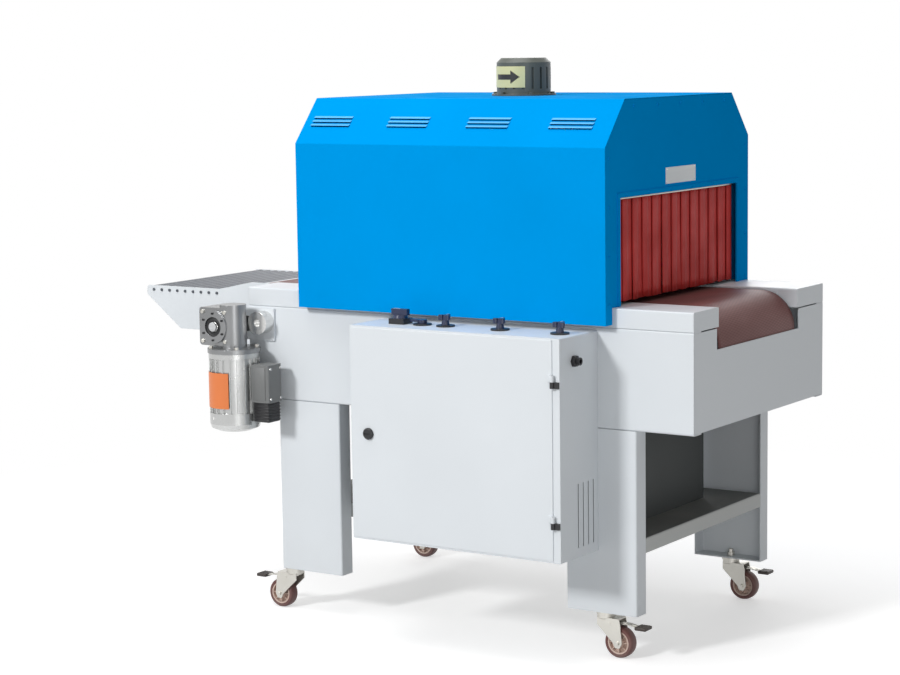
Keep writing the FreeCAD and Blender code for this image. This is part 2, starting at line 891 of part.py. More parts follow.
# Strip curtain: slit sheet hung from a round bead that turns under its clamp bar
def curtain(side):
    x = side * curtain_x
    half = curtain_thickness / 2
    sheet_body = block(x - half, x + half, -curtain_half, curtain_half, curtain_bottom, curtain_pivot)
    bead = rod_y(half, -curtain_half, curtain_half, x, curtain_pivot)
    body = sheet_body.fuse(bead).removeSplitter()
    strip = 2 * curtain_half / strip_count
    slits = []
    for i in range(1, strip_count):
        y = -curtain_half + i * strip
        slits.append(block(x - half - 1, x + half + 1, y - strip_slit / 2, y + strip_slit / 2,
                           curtain_bottom - 1, curtain_pivot - strip_tie))
    return body.cut(slits)


def curtains():
    save("curtain_infeed", curtain(1))
    save("curtain_outfeed", curtain(-1))
    bars = []
    low = curtain_pivot + curtain_thickness / 2 + seat
    for side in (-1, 1):
        wall = side * (hood_half - sheet - seat)
        x0, x1 = sorted((wall, wall - side * bar_depth))
        x2, x3 = sorted((wall, wall - side * sheet))
        foot = block(x0, x1, -mouth_half, mouth_half, low, low + bar_foot)
        web = block(x2, x3, -mouth_half, mouth_half, low, mouth_top + bar_height)
        bars.append(foot.fuse(web).removeSplitter())
    save("curtain_bars", *bars)


# Circulation fan: ribbed motor on the roof, shaft through it, radial wheel in the plenum
def fan():
    base = hood_top
    top = base + fan_flange + fan_motor_height
    body = turned_z([(0, base + fan_flange), (fan_motor_radius, base + fan_flange),
                     (fan_motor_radius, top - fan_bevel), (fan_motor_radius - fan_bevel, top), (0, top)],
                    fan_x, fan_y)
    flange = rod_z(fan_flange_radius, base, base + fan_flange, fan_x, fan_y)
    motor = body.fuse(flange)
    slots = []
    for i in range(fan_slots):
        slot = block(fan_motor_radius - fan_slot_depth, fan_motor_radius + 1, -fan_slot_width / 2,
                     fan_slot_width / 2, base + fan_flange + fan_slot_margin,
                     top - fan_bevel - fan_slot_margin)
        slot.rotate(Vector(0, 0, 0), Vector(0, 0, 1), 360 / fan_slots * i)
        slot.translate(Vector(fan_x, fan_y, 0))
        slots.append(slot)
    bore = rod_z(fan_shaft_radius + running, base - 1, base + fan_shaft_in_motor + 1, fan_x, fan_y)
    save("fan_motor", motor.cut(slots + [bore]))

    low = liner_top + wheel_clear
    high = low + wheel_height
    back = rod_z(wheel_radius, high - wheel_back, high, fan_x, fan_y)
    ring = rod_z(wheel_radius, low, low + wheel_ring, fan_x, fan_y)
    ring = ring.cut(rod_z(wheel_radius - blade_length, low - 1, low + wheel_ring + 1, fan_x, fan_y))
    hub = rod_z(wheel_hub, low + wheel_height / 4, high, fan_x, fan_y)
    shaft = rod_z(fan_shaft_radius, low + wheel_height / 5, base + fan_shaft_in_motor, fan_x, fan_y)
    rim = rod_z(wheel_radius, low, high, fan_x, fan_y)
    blades = []
    for i in range(blade_count):
        outside = Part.makeCylinder(blade_curve, wheel_height, Vector(-blade_curve, 0, low),
                                    Vector(0, 0, 1), blade_sweep)
        inside = Part.makeCylinder(blade_curve - blade_thickness, wheel_height + 2,
                                   Vector(-blade_curve, 0, low - 1), Vector(0, 0, 1), 360)
        blade = outside.cut(inside)
        blade.rotate(Vector(0, 0, 0), Vector(0, 0, 1), blade_lean)
        blade.translate(Vector(wheel_radius - 1, 0, 0))
        blade.rotate(Vector(0, 0, 0), Vector(0, 0, 1), 360 / blade_count * i)
        blade.translate(Vector(fan_x, fan_y, 0))
        blades.append(blade.common(rim))
    save("fan_impeller", fused([back, ring, hub, shaft] + blades))


# Cabinet: sheets welded into two boxes, the front one with the door, the rear one on the tray
def front_box():
    s = sheet
    face = cabinet_front + s + seat
    back = frame_front - seat
    left, right, low, high = cabinet_left, cabinet_right, cabinet_bottom, cabinet_top
    section = [(left, low, cabinet_edge), (right, low, cabinet_edge), (right, high, cabinet_edge),
               (left, high, cabinet_edge)]
    wrapper = prism_y(section, face + s, back - s)
    wrapper = wrapper.cut(block(left + s, right - s, face, back, low + s, high - s))
    openings = [rod_x(gland_neck, right - s - 1, right + 1, gland_y, gland_z)]
    for i in range(slot_count):
        y = cabinet_front + slot_inset + i * slot_pitch
        openings.append(block(right - s - 1, right + 1, y - slot_width / 2, y + slot_width / 2,
                              slot_low, slot_low + slot_length))
    wrapper = wrapper.cut(openings)

    x0, x1 = door_left + door_rebate, door_right - door_rebate - hinge_play
    z0, z1 = door_low + door_rebate, door_high - door_rebate
    opening = block(x0, x1, cabinet_front - 1, face + opening_lip + 1, z0, z1)
    lip = block(x0 - s, x1 + s, face, face + opening_lip, z0 - s, z1 + s)
    column = prism_y([(door_right + door_gap, low), (right, low, cabinet_edge), (right, high, cabinet_edge),
                      (door_right + door_gap, high)], cabinet_front, face + s)
    front = fused([prism_y(section, face, face + s), lip, column]).cut(opening)

    passage = block(left + 2 * s, cabinet_neck - 2 * s, back - s - 1, back + 1,
                    tray_top + seat + 2 * s, skirt_bottom - 3 * s)
    wiring = rod_y(cable_hole, back - s - 1, back + 1, cable_hole_x, cable_hole_z)
    rear = prism_y(section, back - s, back).cut(passage).cut(wiring)
    return [wrapper, front, rear]


def tube(x0, x1, y0, y1, z0, z1):
    s = sheet
    return block(x0, x1, y0, y1, z0, z1).cut(block(x0 + s, x1 - s, y0 - 1, y1 + 1, z0 + s, z1 - s))


def rear_box():
    s = sheet
    start = frame_front - seat
    step = frame_front + leg_depth + seat
    floor = tray_top + seat
    roof = skirt_bottom - s
    neck = tube(cabinet_left, cabinet_neck, start, step, floor, roof)
    shoulder = block(cabinet_left, cabinet_right, step, step + s, floor, roof)
    shoulder = shoulder.cut(block(cabinet_left + s, cabinet_neck - s, step - 1, step + s + 1,
                                  floor + s, roof - s))
    wrapper = tube(cabinet_left, cabinet_right, step + s, cabinet_rear - s, floor, roof)
    back = block(cabinet_left, cabinet_right, cabinet_rear - s, cabinet_rear, floor, roof)
    return [neck, shoulder, wrapper, back]


def cabinet():
    save("cabinet_body", *front_box(), *rear_box())


def door():
    skin = block(door_left, door_right, cabinet_front, cabinet_front + sheet, door_low, door_high)
    skin = skin.makeFillet(door_round, [e for e in skin.Edges if e.BoundBox.YMax < cabinet_front + seat])
    gap = door_rebate + door_gap
    x0, x1 = door_left + gap, door_right - gap - hinge_play
    z0, z1 = door_low + gap, door_high - gap
    back = cabinet_front + sheet
    edge = block(x0, x1, back, cabinet_front + door_depth, z0, z1)
    hollow = block(x0 + sheet, x1 - sheet, back, cabinet_front + door_depth + 1, z0 + sheet, z1 - sheet)
    body = skin.fuse(edge.cut(hollow))
    body = body.cut(rod_y(lock_barrel + running, cabinet_front - 1, back + 1, lock_x, lock_z))
    hinge_y = cabinet_front - hinge_radius - seat
    for z in hinge_heights:
        leaf = block(hinge_x - hinge_leaf, hinge_x, hinge_y, cabinet_front, z, z + hinge_height / 2)
        leaf = leaf.fuse(rod_z(hinge_radius, z, z + hinge_height / 2, hinge_x, hinge_y))
        clear = rod_z(pin_radius + running, z - 1, z + hinge_height, hinge_x, hinge_y)
        body = body.fuse(leaf).cut(clear)
    save("cabinet_door", body.removeSplitter())

    head_front = cabinet_front - lock_proud
    head_back = cabinet_front - seat
    barrel_end = cabinet_front + lock_depth
    head = turned_y([(0, head_front), (lock_radius - lock_bevel, head_front),
                     (lock_radius, head_front + lock_bevel), (lock_radius, head_back),
                     (lock_barrel, head_back), (lock_barrel, barrel_end), (0, barrel_end)], lock_x, lock_z)
    slot = block(lock_x - cam_half, lock_x + cam_half, head_front - 1, head_front + lock_slot,
                 lock_z - lock_slot / 2, lock_z + lock_slot / 2)
    cam = block(lock_x - cam_half, lock_x + cam_half, barrel_end, barrel_end + cam_sheet,
                lock_z - cam_half, lock_z + cam_reach)
    save("cabinet_lock", head.cut(slot).fuse(cam).removeSplitter())


def fittings():
    """Black pieces that stay put: hinge halves, plates under the controls and the cable gland."""
    pieces = []
    hinge_y = cabinet_front - hinge_radius - seat
    for z in hinge_heights:
        low = z - hinge_height / 2
        high = z - seat
        knuckle = rod_z(hinge_radius, low, high, hinge_x, hinge_y)
        leaf = block(hinge_x, cabinet_right - 1, hinge_y, cabinet_front, low, high)
        pin = rod_z(pin_radius, high, z + hinge_height / 2, hinge_x, hinge_y)
        pieces.append(fused([knuckle, leaf, pin]))
    wide, deep, tall = switch_base
    base = block(switch_x - wide / 2, switch_x + wide / 2, control_y - deep / 2, control_y + deep / 2,
                 cabinet_top, cabinet_top + tall)
    pieces.append(base)
    for x in (lever_x,) + knob_places:
        pieces.append(rod_z(knob_plate, cabinet_top, cabinet_top + knob_plate_height, x, control_y))
    inside = cabinet_right - sheet - gland_length / 2
    nut = rod_x(gland_outer, cabinet_right, cabinet_right + gland_length / 2, gland_y, gland_z)
    neck = rod_x(gland_neck - running, inside, cabinet_right + gland_length, gland_y, gland_z)
    hole = rod_x(gland_bore, inside - 1, cabinet_right + gland_length + 1, gland_y, gland_z)
    pieces.append(nut.fuse(neck).cut(hole).removeSplitter())
    save("cabinet_fittings", *pieces)


def device(size, x, back, z):
    """A closed device housing with its back on the mounting plate and a stepped front."""
    wide, deep, tall = size
    body = block(x, x + wide, back - deep * 0.8, back, z, z + tall)
    front = block(x, x + wide, back - deep, back, z + tall * 0.25, z + tall * 0.75)
    return body.fuse(front)


def electrics():
    """Mounting plate with the power and control gear, bolted to the cabinet's back wall."""
    wall = frame_front - seat - sheet
    back = wall - panel_sheet
    x0, x1 = cabinet_left + plate_margin, cabinet_right - plate_margin
    pieces = [block(x0, x1, back, wall, gear_plate_low, gear_plate_high)]
    low_row = gear_plate_low + gear_row
    high_row = low_row + contactor[2] + gear_row
    for i in range(contactor_count):
        pieces.append(device(contactor, x0 + gear_row + i * contactor_pitch, back, low_row))
    for i in range(breaker_count):
        pieces.append(device(breaker, x0 + gear_row + i * breaker_pitch, back, high_row))
    pieces.append(device(speed_drive, x1 - gear_row - speed_drive[0], back, gear_plate_low + gear_row))
    save("electrics", fused(pieces))


# Controls: a rotary main switch, a flat lever and three lobed knobs
def lobed(x, low):
    high = low + knob_height
    waist = (low + high) / 2
    lobe_radius = knob_radius * 0.45
    body = turned_z([(0, low), (knob_radius * 0.7, low), (knob_radius * 0.55, waist), (lobe_radius, high),
                     (0, high)], x, control_y)
    for i in range(3):
        lobe = rod_z(lobe_radius, waist, high, x + knob_radius * 0.75, control_y)
        lobe.rotate(Vector(x, control_y, 0), Vector(0, 0, 1), 120 * i + 90)
        body = body.fuse(lobe)
    return body.removeSplitter()


def controls():
    low = cabinet_top + switch_base[2] + seat
    top = low + switch_hub_height
    long, wide, tall = switch_grip
    hub = turned_z([(0, low), (switch_hub, low), (switch_hub * 0.9, top), (0, top)], switch_x, control_y)
    grip = block(switch_x - long / 2, switch_x + long / 2, control_y - wide / 2, control_y + wide / 2,
                 top, top + tall)
    save("main_switch", hub.fuse(grip).removeSplitter())
    low = cabinet_top + knob_plate_height + seat
    pivot = rod_z(lever_hub, low, low + lever_hub_height, lever_x, control_y)
    arm = block(lever_x - lever_reach, lever_x, control_y - lever_half, control_y + lever_half,
                low + lever_rise, low + lever_hub_height)
    tip = rod_z(lever_half, low + lever_rise, low + lever_hub_height, lever_x - lever_reach, control_y)
    save("selector_lever", fused([pivot, arm, tip]))
    for i, x in enumerate(knob_places):
        save("control_knob_%d" % (i + 1), lobed(x, low))


# Drive: worm gearbox on the drum's shaft, motor hanging under it, torque arm to the frame
def drive():
    worm_x = drive_x + worm_offset
    y0, y1 = gear_y - gear_half_depth, gear_y + gear_half_depth
    z0, z1 = drum_z - gear_half_height, drum_z + gear_half_height
    c0, c1 = y0 + gear_cover, y1 - gear_cover
    left, right = drive_x - gear_half_width, drive_x + gear_half_width
    case = prism_y([(left, z0, gear_corner), (right, z0, gear_corner), (right, z1, gear_corner),
                    (left, z1, gear_corner)], c0, c1)
    cover = rod_y(gear_cover_radius, y0, y1, drive_x, drum_z)
    flange_top = motor_top + motor_flange
    barrel = rod_z(worm_radius, flange_top, drum_z + worm_over, worm_x, gear_y)
    flange = rod_z(motor_flange_radius, motor_top, flange_top, worm_x, gear_y)
    ribs = []
    for i in range(gear_ribs):
        z = drum_z + (i - (gear_ribs - 1) / 2) * gear_rib_pitch
        ribs.append(block(left - gear_rib_height, left + 1, c0 + gear_corner, c1 - gear_corner,
                          z - gear_rib_width / 2, z + gear_rib_width / 2))
    bore = rod_y(shaft_radius + running, y0 - 1, y1 + 1, drive_x, drum_z)
    recess = rod_y(gear_recess, y0 - 1, y0 + gear_recess_depth, drive_x, drum_z)
    save("gearbox", fused([case, cover, barrel, flange] + ribs).cut(bore).cut(recess))

    core = motor_radius - fin_height
    cowl_top = motor_bottom + motor_cowl
    fins_top = motor_top - motor_bell
    body = turned_z([(0, motor_bottom), (motor_radius * 0.68, motor_bottom),
                     (motor_radius - 4, motor_bottom + 8), (motor_radius, motor_bottom + 20),
                     (motor_radius, cowl_top), (core, cowl_top), (core, fins_top),
                     (motor_radius, fins_top), (motor_radius, motor_top), (0, motor_top)],
                    worm_x, gear_y)
    fins = []
    for i in range(motor_fins):
        fin = block(core - 2, motor_radius - 0.5, -fin_width / 2, fin_width / 2, cowl_top, fins_top)
        fin.rotate(Vector(0, 0, 0), Vector(0, 0, 1), 360 / motor_fins * (i + 0.5))
        fin.translate(Vector(worm_x, gear_y, 0))
        fins.append(fin)
    box_left = worm_x + motor_radius + junction_pad
    box_right = worm_x + junction_reach
    near = gear_y + junction_shift - junction_depth / 2
    far = near + junction_depth
    pad = block(worm_x + core - 2, box_left, near + capacitor_inset, far - capacitor_inset,
                junction_low + capacitor_inset, junction_low + junction_height - capacitor_inset)
    junction = prism_z([(box_left, near), (box_right, near, gear_corner), (box_right, far, gear_corner),
                        (box_left, far)], junction_low, junction_low + junction_height)
    box_right = box_right - capacitor_inset
    near = near + capacitor_inset
    far = far - capacitor_inset
    capacitor = prism_z([(box_left, near), (box_right, near, plate_corner), (box_right, far, plate_corner),
                         (box_left, far)], junction_low - capacitor_height, junction_low)
    save("gear_motor", fused([body, pad] + fins), junction.fuse(capacitor).removeSplitter())

    a0 = gear_y + gear_half_depth + seat
    a1 = a0 + arm_thickness
    ring = rod_y(arm_ring, a0, a1, drive_x, drum_z)
    eye = rod_y(eye_radius, a0 - eye_proud, frame_front - cheek_thickness - 2 * seat, eye_x, eye_z)
    bar = prism_y([(drive_x, drum_z - arm_root_half), (eye_x, eye_z - arm_end_half),
                   (eye_x, eye_z + arm_end_half), (drive_x, drum_z + arm_root_half)], a0, a1)
    arm = fused([ring, eye, bar]).cut(rod_y(shaft_radius + shaft_clear, a0 - 1, a1 + 1, drive_x, drum_z))
    save("torque_arm", arm.cut(rod_y(eye_bore, a0 - eye_proud - 1, a0 + eye_proud, eye_x, eye_z)))


# Casters: raceway and rivet stay with the foot; fork, wheel and brake pedal turn with it
def caster_sides(x_low):
    return -1 if x_low == leg_outfeed else 1


def fork(x, y, way):
    axle_x = x + way * caster_trail
    axle_z = wheel_rolling_radius
    bore = rivet_radius + running
    crown = turned_z([(bore, crown_bottom), (crown_radius - crown_bevel, crown_bottom),
                      (crown_radius, crown_bottom + crown_bevel), (crown_radius, crown_top),
                      (bore, crown_top)], x, y)
    roof_low = crown_bottom + fork_sheet
    roof_high = roof_low + fork_sheet
    outer = fork_inner + fork_sheet
    back = x - way * fork_back
    brow = x + way * fork_brow
    solids = [crown]
    for side in (-1, 1):
        y0, y1 = sorted((y + side * fork_inner, y + side * outer))
        outline = [(back, roof_high), (brow, roof_high, crown_bevel), (brow + way * 4, crown_bottom - 10),
                   (axle_x + way * fork_foot, axle_z, crown_bevel),
                   (axle_x + way * fork_foot / 2, axle_z - fork_foot, crown_bevel),
                   (axle_x - way * fork_foot / 2, axle_z - fork_foot, crown_bevel),
                   (axle_x - way * fork_foot, axle_z, crown_bevel), (back, crown_bottom - fork_foot)]
        solids.append(prism_y(outline, y0, y1))
    near, far = sorted((back, brow))
    roof = block(near, far, y - outer, y + outer, roof_low, roof_high)
    solids.append(roof.cut(rod_z(bore, crown_bottom, crown_top, x, y)))
    solids.append(rod_y(wheel_axle, y - outer - axle_head, y + outer + axle_head, axle_x, axle_z))
    solids.append(rod_y(pedal_pin, y - outer - 1, y + outer + 1, x + way * pedal_pivot_x, pedal_pivot_z))
    return fused(solids)


def caster_wheel(x, y, way):
    r = wheel_rolling_radius
    t = tread_half
    web = t - web_recess
    rim = r - rim_width
    bore = wheel_axle + running
    side = fork_inner - seat
    half = [(bore, side), (hub_radius, side), (hub_radius + 2, web), (rim, web), (rim + 2, t), (r - 3, t),
            (r, t - 3)]
    wheel = turned_y([(radius, -along) for radius, along in half] + half[::-1], x + way * caster_trail, r)
    wheel.translate(Vector(0, y, 0))
    return wheel


def brake(x, y, way):
    px = x + way * pedal_pivot_x
    pz = pedal_pivot_z
    hub = rod_y(pedal_hub, y - pedal_half, y + pedal_half, px, pz)
    bent = px + way * pedal_bend
    toe_root = px + way * (pedal_tip - toe_length)
    arm = prism_y([(px, pz - 1), (bent, pz - 1), (toe_root + way * 2, pz - pedal_drop),
                   (toe_root + way * 2, pz - pedal_drop + pedal_sheet), (bent, pz - 1 + pedal_sheet),
                   (px, pz - 1 + pedal_sheet)], y - pedal_half, y + pedal_half)
    toe0, toe1 = sorted((toe_root, px + way * pedal_tip))
    toe = block(toe0, toe1, y - toe_half, y + toe_half, pz - 1 - toe_height, pz - 1)
    toe = toe.makeFillet(toe_round, [e for e in toe.Edges if abs(e.BoundBox.ZLength - toe_height) < seat])
    body = fused([hub, arm, toe])
    return body.cut(rod_y(pedal_pin + running, y - pedal_half - 1, y + pedal_half + 1, px, pz))


def casters():
    heads = []
    for name, (x_low, y_face, inward) in leg_places.items():
        x = caster_place(x_low)
        y = y_face + inward * leg_depth / 2
        way = caster_sides(x_low)
        head = rod_z(raceway_radius, leg_bottom - raceway, leg_bottom, x, y)
        stem = rod_z(stem_radius, leg_bottom, leg_bottom + stem_length, x, y)
        nut_seat = leg_bottom + foot_plate
        nut = rod_z(caster_nut, nut_seat, nut_seat + caster_nut_height, x, y)
        cap_low = crown_bottom - seat - rivet_head_height
        rivet = rod_z(rivet_radius, cap_low, leg_bottom - raceway, x, y)
        cap = rod_z(rivet_head, cap_low, crown_bottom - seat, x, y)
        heads.append(fused([head, stem, nut, rivet, cap]))
        save("caster_fork_" + name, fork(x, y, way))
        save("caster_wheel_" + name, caster_wheel(x, y, way))
        save("caster_brake_" + name, brake(x, y, way))
    save("caster_heads", *heads)


skirts()
end_panels()
rails()
legs()
lower_tray()
belt()
belt_bed()
conveyor()
table_frame()
rollers()
hood()
hood_ends()
chamber()
heaters()
curtains()
fan()
cabinet()
door()
fittings()
electrics()
controls()
drive()
casters()
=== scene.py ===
import math
import random

import bmesh
import bpy
from mathutils import Matrix, Vector


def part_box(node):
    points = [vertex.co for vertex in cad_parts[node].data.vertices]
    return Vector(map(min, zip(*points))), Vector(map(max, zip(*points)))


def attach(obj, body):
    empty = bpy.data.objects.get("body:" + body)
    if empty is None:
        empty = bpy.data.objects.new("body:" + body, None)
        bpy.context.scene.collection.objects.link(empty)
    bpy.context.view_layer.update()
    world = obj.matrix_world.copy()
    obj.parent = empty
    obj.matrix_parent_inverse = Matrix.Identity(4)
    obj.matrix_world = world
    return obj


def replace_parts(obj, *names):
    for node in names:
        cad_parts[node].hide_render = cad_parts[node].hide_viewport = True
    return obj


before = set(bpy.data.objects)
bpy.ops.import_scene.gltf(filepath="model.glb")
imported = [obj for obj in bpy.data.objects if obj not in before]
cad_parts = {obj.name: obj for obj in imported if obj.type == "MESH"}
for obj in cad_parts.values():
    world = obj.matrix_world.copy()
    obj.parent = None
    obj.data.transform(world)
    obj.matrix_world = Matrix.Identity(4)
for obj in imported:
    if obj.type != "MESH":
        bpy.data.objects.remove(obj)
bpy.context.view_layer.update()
print("frame loaded:", len(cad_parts), "nodes")

xAxis, yAxis, zAxis = Vector((1, 0, 0)), Vector((0, 1, 0)), Vector((0, 0, 1))
corners = ("front_outfeed", "front_infeed", "back_outfeed", "back_infeed")
knobs = ["control_knob_%d" % (i + 1) for i in range(3)]
random.seed(11)


# Node trees

def setInputs(tree, node, inputs):
    for key, value in inputs.items():
        if isinstance(value, bpy.types.NodeSocket):
            tree.links.new(value, node.inputs[key])
        else:
            node.inputs[key].default_value = value


def wire(tree, kind, inputs=None, **settings):
    node = tree.nodes.new("ShaderNode" + kind)
    for name, value in settings.items():
        setattr(node, name, value)
    setInputs(tree, node, inputs or {})
    return node


def math2(tree, operation, a, b):
    return wire(tree, "Math", {0: a, 1: b}, operation=operation).outputs[0]


# A Mix node's sockets go by number: 6, 7 and 2 for colours, 2, 3 and 0 for values
def mixColour(tree, factor, a, b):
    return wire(tree, "Mix", {0: factor, 6: a, 7: b}, data_type="RGBA").outputs[2]


def mixValue(tree, factor, a, b):
    return wire(tree, "Mix", {0: factor, 2: a, 3: b}, data_type="FLOAT").outputs[0]


def stretchTo(tree, value, low, high, toLow=0.0, toHigh=1.0):
    return wire(tree, "MapRange", {0: value, 1: low, 2: high, 3: toLow, 4: toHigh}).outputs[0]


def noise(tree, place, scale, detail):
    return wire(tree, "TexNoise", {"Vector": place, "Scale": scale, "Detail": detail}).outputs[0]


def objectPlace(tree):
    return wire(tree, "TexCoord").outputs["Object"]


def newGroup(name, inputs, outputs):
    tree = bpy.data.node_groups.new(name, "ShaderNodeTree")
    for label, kind, default in inputs:
        socket = tree.interface.new_socket(name=label, in_out="INPUT", socket_type="NodeSocket" + kind)
        socket.default_value = default
    for label, kind in outputs:
        tree.interface.new_socket(name=label, in_out="OUTPUT", socket_type="NodeSocket" + kind)
    return tree, tree.nodes.new("NodeGroupInput").outputs, tree.nodes.new("NodeGroupOutput").inputs


# Each pair is the range of a value that goes from none to all of the effect
effects = {"edgeLean": (0.97, 0.80), "edgeSpots": (0.45, 0.62), "edgeSamples": 4,
           "cloudScale": 3.5, "cloud": (0.3, 0.7), "lineScale": 30.0, "line": (0.32, 0.68),
           "lineDepth": 0.0002, "facingUp": (0.7, 1.0), "splashHeight": (0.35, 0.0),
           "patchScale": 14.0, "patches": (0.3, 0.75), "threadDepth": 0.0003,
           "wornShade": 1.25, "dustRough": 0.85}


def edgeWearGroup():
    tree, given, made = newGroup("edgeWear", [("Radius", "Float", 0.001), ("Spots", "Float", 90.0)],
                                 [("Mask", "Float"), ("Normal", "Vector")])
    rounded = wire(tree, "Bevel", {"Radius": given["Radius"]}, samples=effects["edgeSamples"]).outputs[0]
    flat = wire(tree, "NewGeometry").outputs["True Normal"]
    lean = wire(tree, "VectorMath", {0: rounded, 1: flat}, operation="DOT_PRODUCT").outputs["Value"]
    edge = stretchTo(tree, lean, *effects["edgeLean"])
    spots = noise(tree, objectPlace(tree), given["Spots"], detail=4.0)
    worn = math2(tree, "MULTIPLY", edge, stretchTo(tree, spots, *effects["edgeSpots"]))
    tree.links.new(worn, made["Mask"])
    tree.links.new(rounded, made["Normal"])
    return tree


def peelGroup():  # the fine ripple of sprayed paint or moulded plastic
    tree, given, made = newGroup("peel", [("Scale", "Float", 400.0), ("Strength", "Float", 0.1),
                                          ("Depth", "Float", 0.0002), ("Normal", "Vector", (0, 0, 0))],
                                 [("Tone", "Float"), ("Normal", "Vector")])
    place = objectPlace(tree)
    ripple = noise(tree, place, given["Scale"], detail=2.0)
    cloud = noise(tree, place, effects["cloudScale"], detail=4.0)
    bump = wire(tree, "Bump", {"Height": ripple, "Strength": given["Strength"],
                               "Distance": given["Depth"], "Normal": given["Normal"]})
    tree.links.new(stretchTo(tree, cloud, *effects["cloud"]), made["Tone"])
    tree.links.new(bump.outputs[0], made["Normal"])
    return tree


def linesGroup():  # drawn, brushed or turned lines; the stretch is small along the lines
    tree, given, made = newGroup("drawnLines", [("Stretch", "Vector", (1.0, 1.0, 1.0)),
                                                ("Strength", "Float", 0.2),
                                                ("Normal", "Vector", (0, 0, 0))],
                                 [("Tone", "Float"), ("Normal", "Vector")])
    drawn = wire(tree, "VectorMath", {0: objectPlace(tree), 1: given["Stretch"]},
                 operation="MULTIPLY").outputs[0]
    lines = noise(tree, drawn, effects["lineScale"], detail=6.0)
    bump = wire(tree, "Bump", {"Height": lines, "Strength": given["Strength"],
                               "Distance": effects["lineDepth"], "Normal": given["Normal"]})
    tree.links.new(stretchTo(tree, lines, *effects["line"]), made["Tone"])
    tree.links.new(bump.outputs[0], made["Normal"])
    return tree


def dustAndToplightGroup():  # dust lies on what faces up and rises a little from the floor; on the blue hood the same mask carries painted light on the faces that look up
    tree, given, made = newGroup("dustAndToplight", [("Lying", "Float", 0.3), ("Splashed", "Float", 0.2)],
                                 [("Mask", "Float")])
    place = objectPlace(tree)
    normal = wire(tree, "NewGeometry").outputs["Normal"]
    up = wire(tree, "SeparateXYZ", {0: normal}).outputs["Z"]
    height = wire(tree, "SeparateXYZ", {0: place}).outputs["Z"]
    patches = noise(tree, place, effects["patchScale"], detail=5.0)
    lying = math2(tree, "MULTIPLY", stretchTo(tree, up, *effects["facingUp"]), given["Lying"])
    splash = stretchTo(tree, height, *effects["splashHeight"])
    splashed = math2(tree, "MULTIPLY", splash, given["Splashed"])
    both = math2(tree, "ADD", lying, splashed)
    mask = math2(tree, "MULTIPLY", both, stretchTo(tree, patches, *effects["patches"]))
    tree.links.new(mask, made["Mask"])
    return tree


def weaveGroup():  # plain weave from two crossed sets of threads; the vector runs along both
    tree, given, made = newGroup("weave", [("Vector", "Vector", (0, 0, 0)), ("Pitch", "Float", 0.004),
                                           ("Strength", "Float", 0.5)],
                                 [("Tone", "Float"), ("Normal", "Vector")])
    turns = math2(tree, "DIVIDE", 2 * math.pi, given["Pitch"])
    scaled = wire(tree, "VectorMath", {0: given["Vector"], "Scale": turns}, operation="SCALE").outputs[0]
    parts = wire(tree, "SeparateXYZ", {0: scaled})
    warp = wire(tree, "Math", {0: parts.outputs["X"]}, operation="SINE").outputs[0]
    weft = wire(tree, "Math", {0: parts.outputs["Y"]}, operation="SINE").outputs[0]
    crossed = math2(tree, "MULTIPLY", warp, weft)
    bump = wire(tree, "Bump", {"Height": crossed, "Strength": given["Strength"],
                               "Distance": effects["threadDepth"]})
    tree.links.new(stretchTo(tree, crossed, -1.0, 1.0), made["Tone"])
    tree.links.new(bump.outputs[0], made["Normal"])
    return tree


groups = {"wear": edgeWearGroup(), "peel": peelGroup(), "lines": linesGroup(), "dustAndToplight": dustAndToplightGroup(),
          "weave": weaveGroup()}


def useGroup(tree, name, inputs):
    node = tree.nodes.new("ShaderNodeGroup")
    node.node_tree = groups[name]
    setInputs(tree, node, inputs)
    return node.outputs


def shade(colour, factor):
    return tuple(min(channel * factor, 1.0) for channel in colour[:3]) + (1.0,)


def newMaterial(name):
    material = bpy.data.materials.new(name)
    material.use_nodes = True
    tree = material.node_tree
    return material, tree, tree.nodes["Principled BSDF"]


def surface(name, colour, rough, metallic=0.0, spread=0.04, roughSpread=0.06, wearColour=None,
            edge=0.0012, wear=0.5, grain="peel", skin=None, lying=0.15, splashed=0.1,
            dustAndToplightColour=(0.36, 0.34, 0.31, 1.0), coat=0.0, shine=0.5):
    material, tree, bsdf = newMaterial(name)
    worn = useGroup(tree, "wear", {"Radius": edge})
    grained = useGroup(tree, grain, {**(skin or {}), "Normal": worn["Normal"]})
    dustAndToplight = useGroup(tree, "dustAndToplight", {"Lying": lying, "Splashed": splashed})["Mask"]
    base = mixColour(tree, grained["Tone"], shade(colour, 1 - spread), shade(colour, 1 + spread))
    base = mixColour(tree, math2(tree, "MULTIPLY", worn["Mask"], wear), base,
                     wearColour or shade(colour, effects["wornShade"]))
    # Dust on what faces up; on the blue hood and its louvres this colour is painted light instead.
    base = mixColour(tree, dustAndToplight, base, dustAndToplightColour)
    roughness = mixValue(tree, grained["Tone"], rough - roughSpread, rough + roughSpread)
    roughness = mixValue(tree, dustAndToplight, roughness, effects["dustRough"])
    tree.links.new(base, bsdf.inputs["Base Color"])
    tree.links.new(roughness, bsdf.inputs["Roughness"])
    tree.links.new(grained["Normal"], bsdf.inputs["Normal"])
    bsdf.inputs["Metallic"].default_value = metallic
    bsdf.inputs["Coat Weight"].default_value = coat
    bsdf.inputs["Specular IOR Level"].default_value = shine
    return material


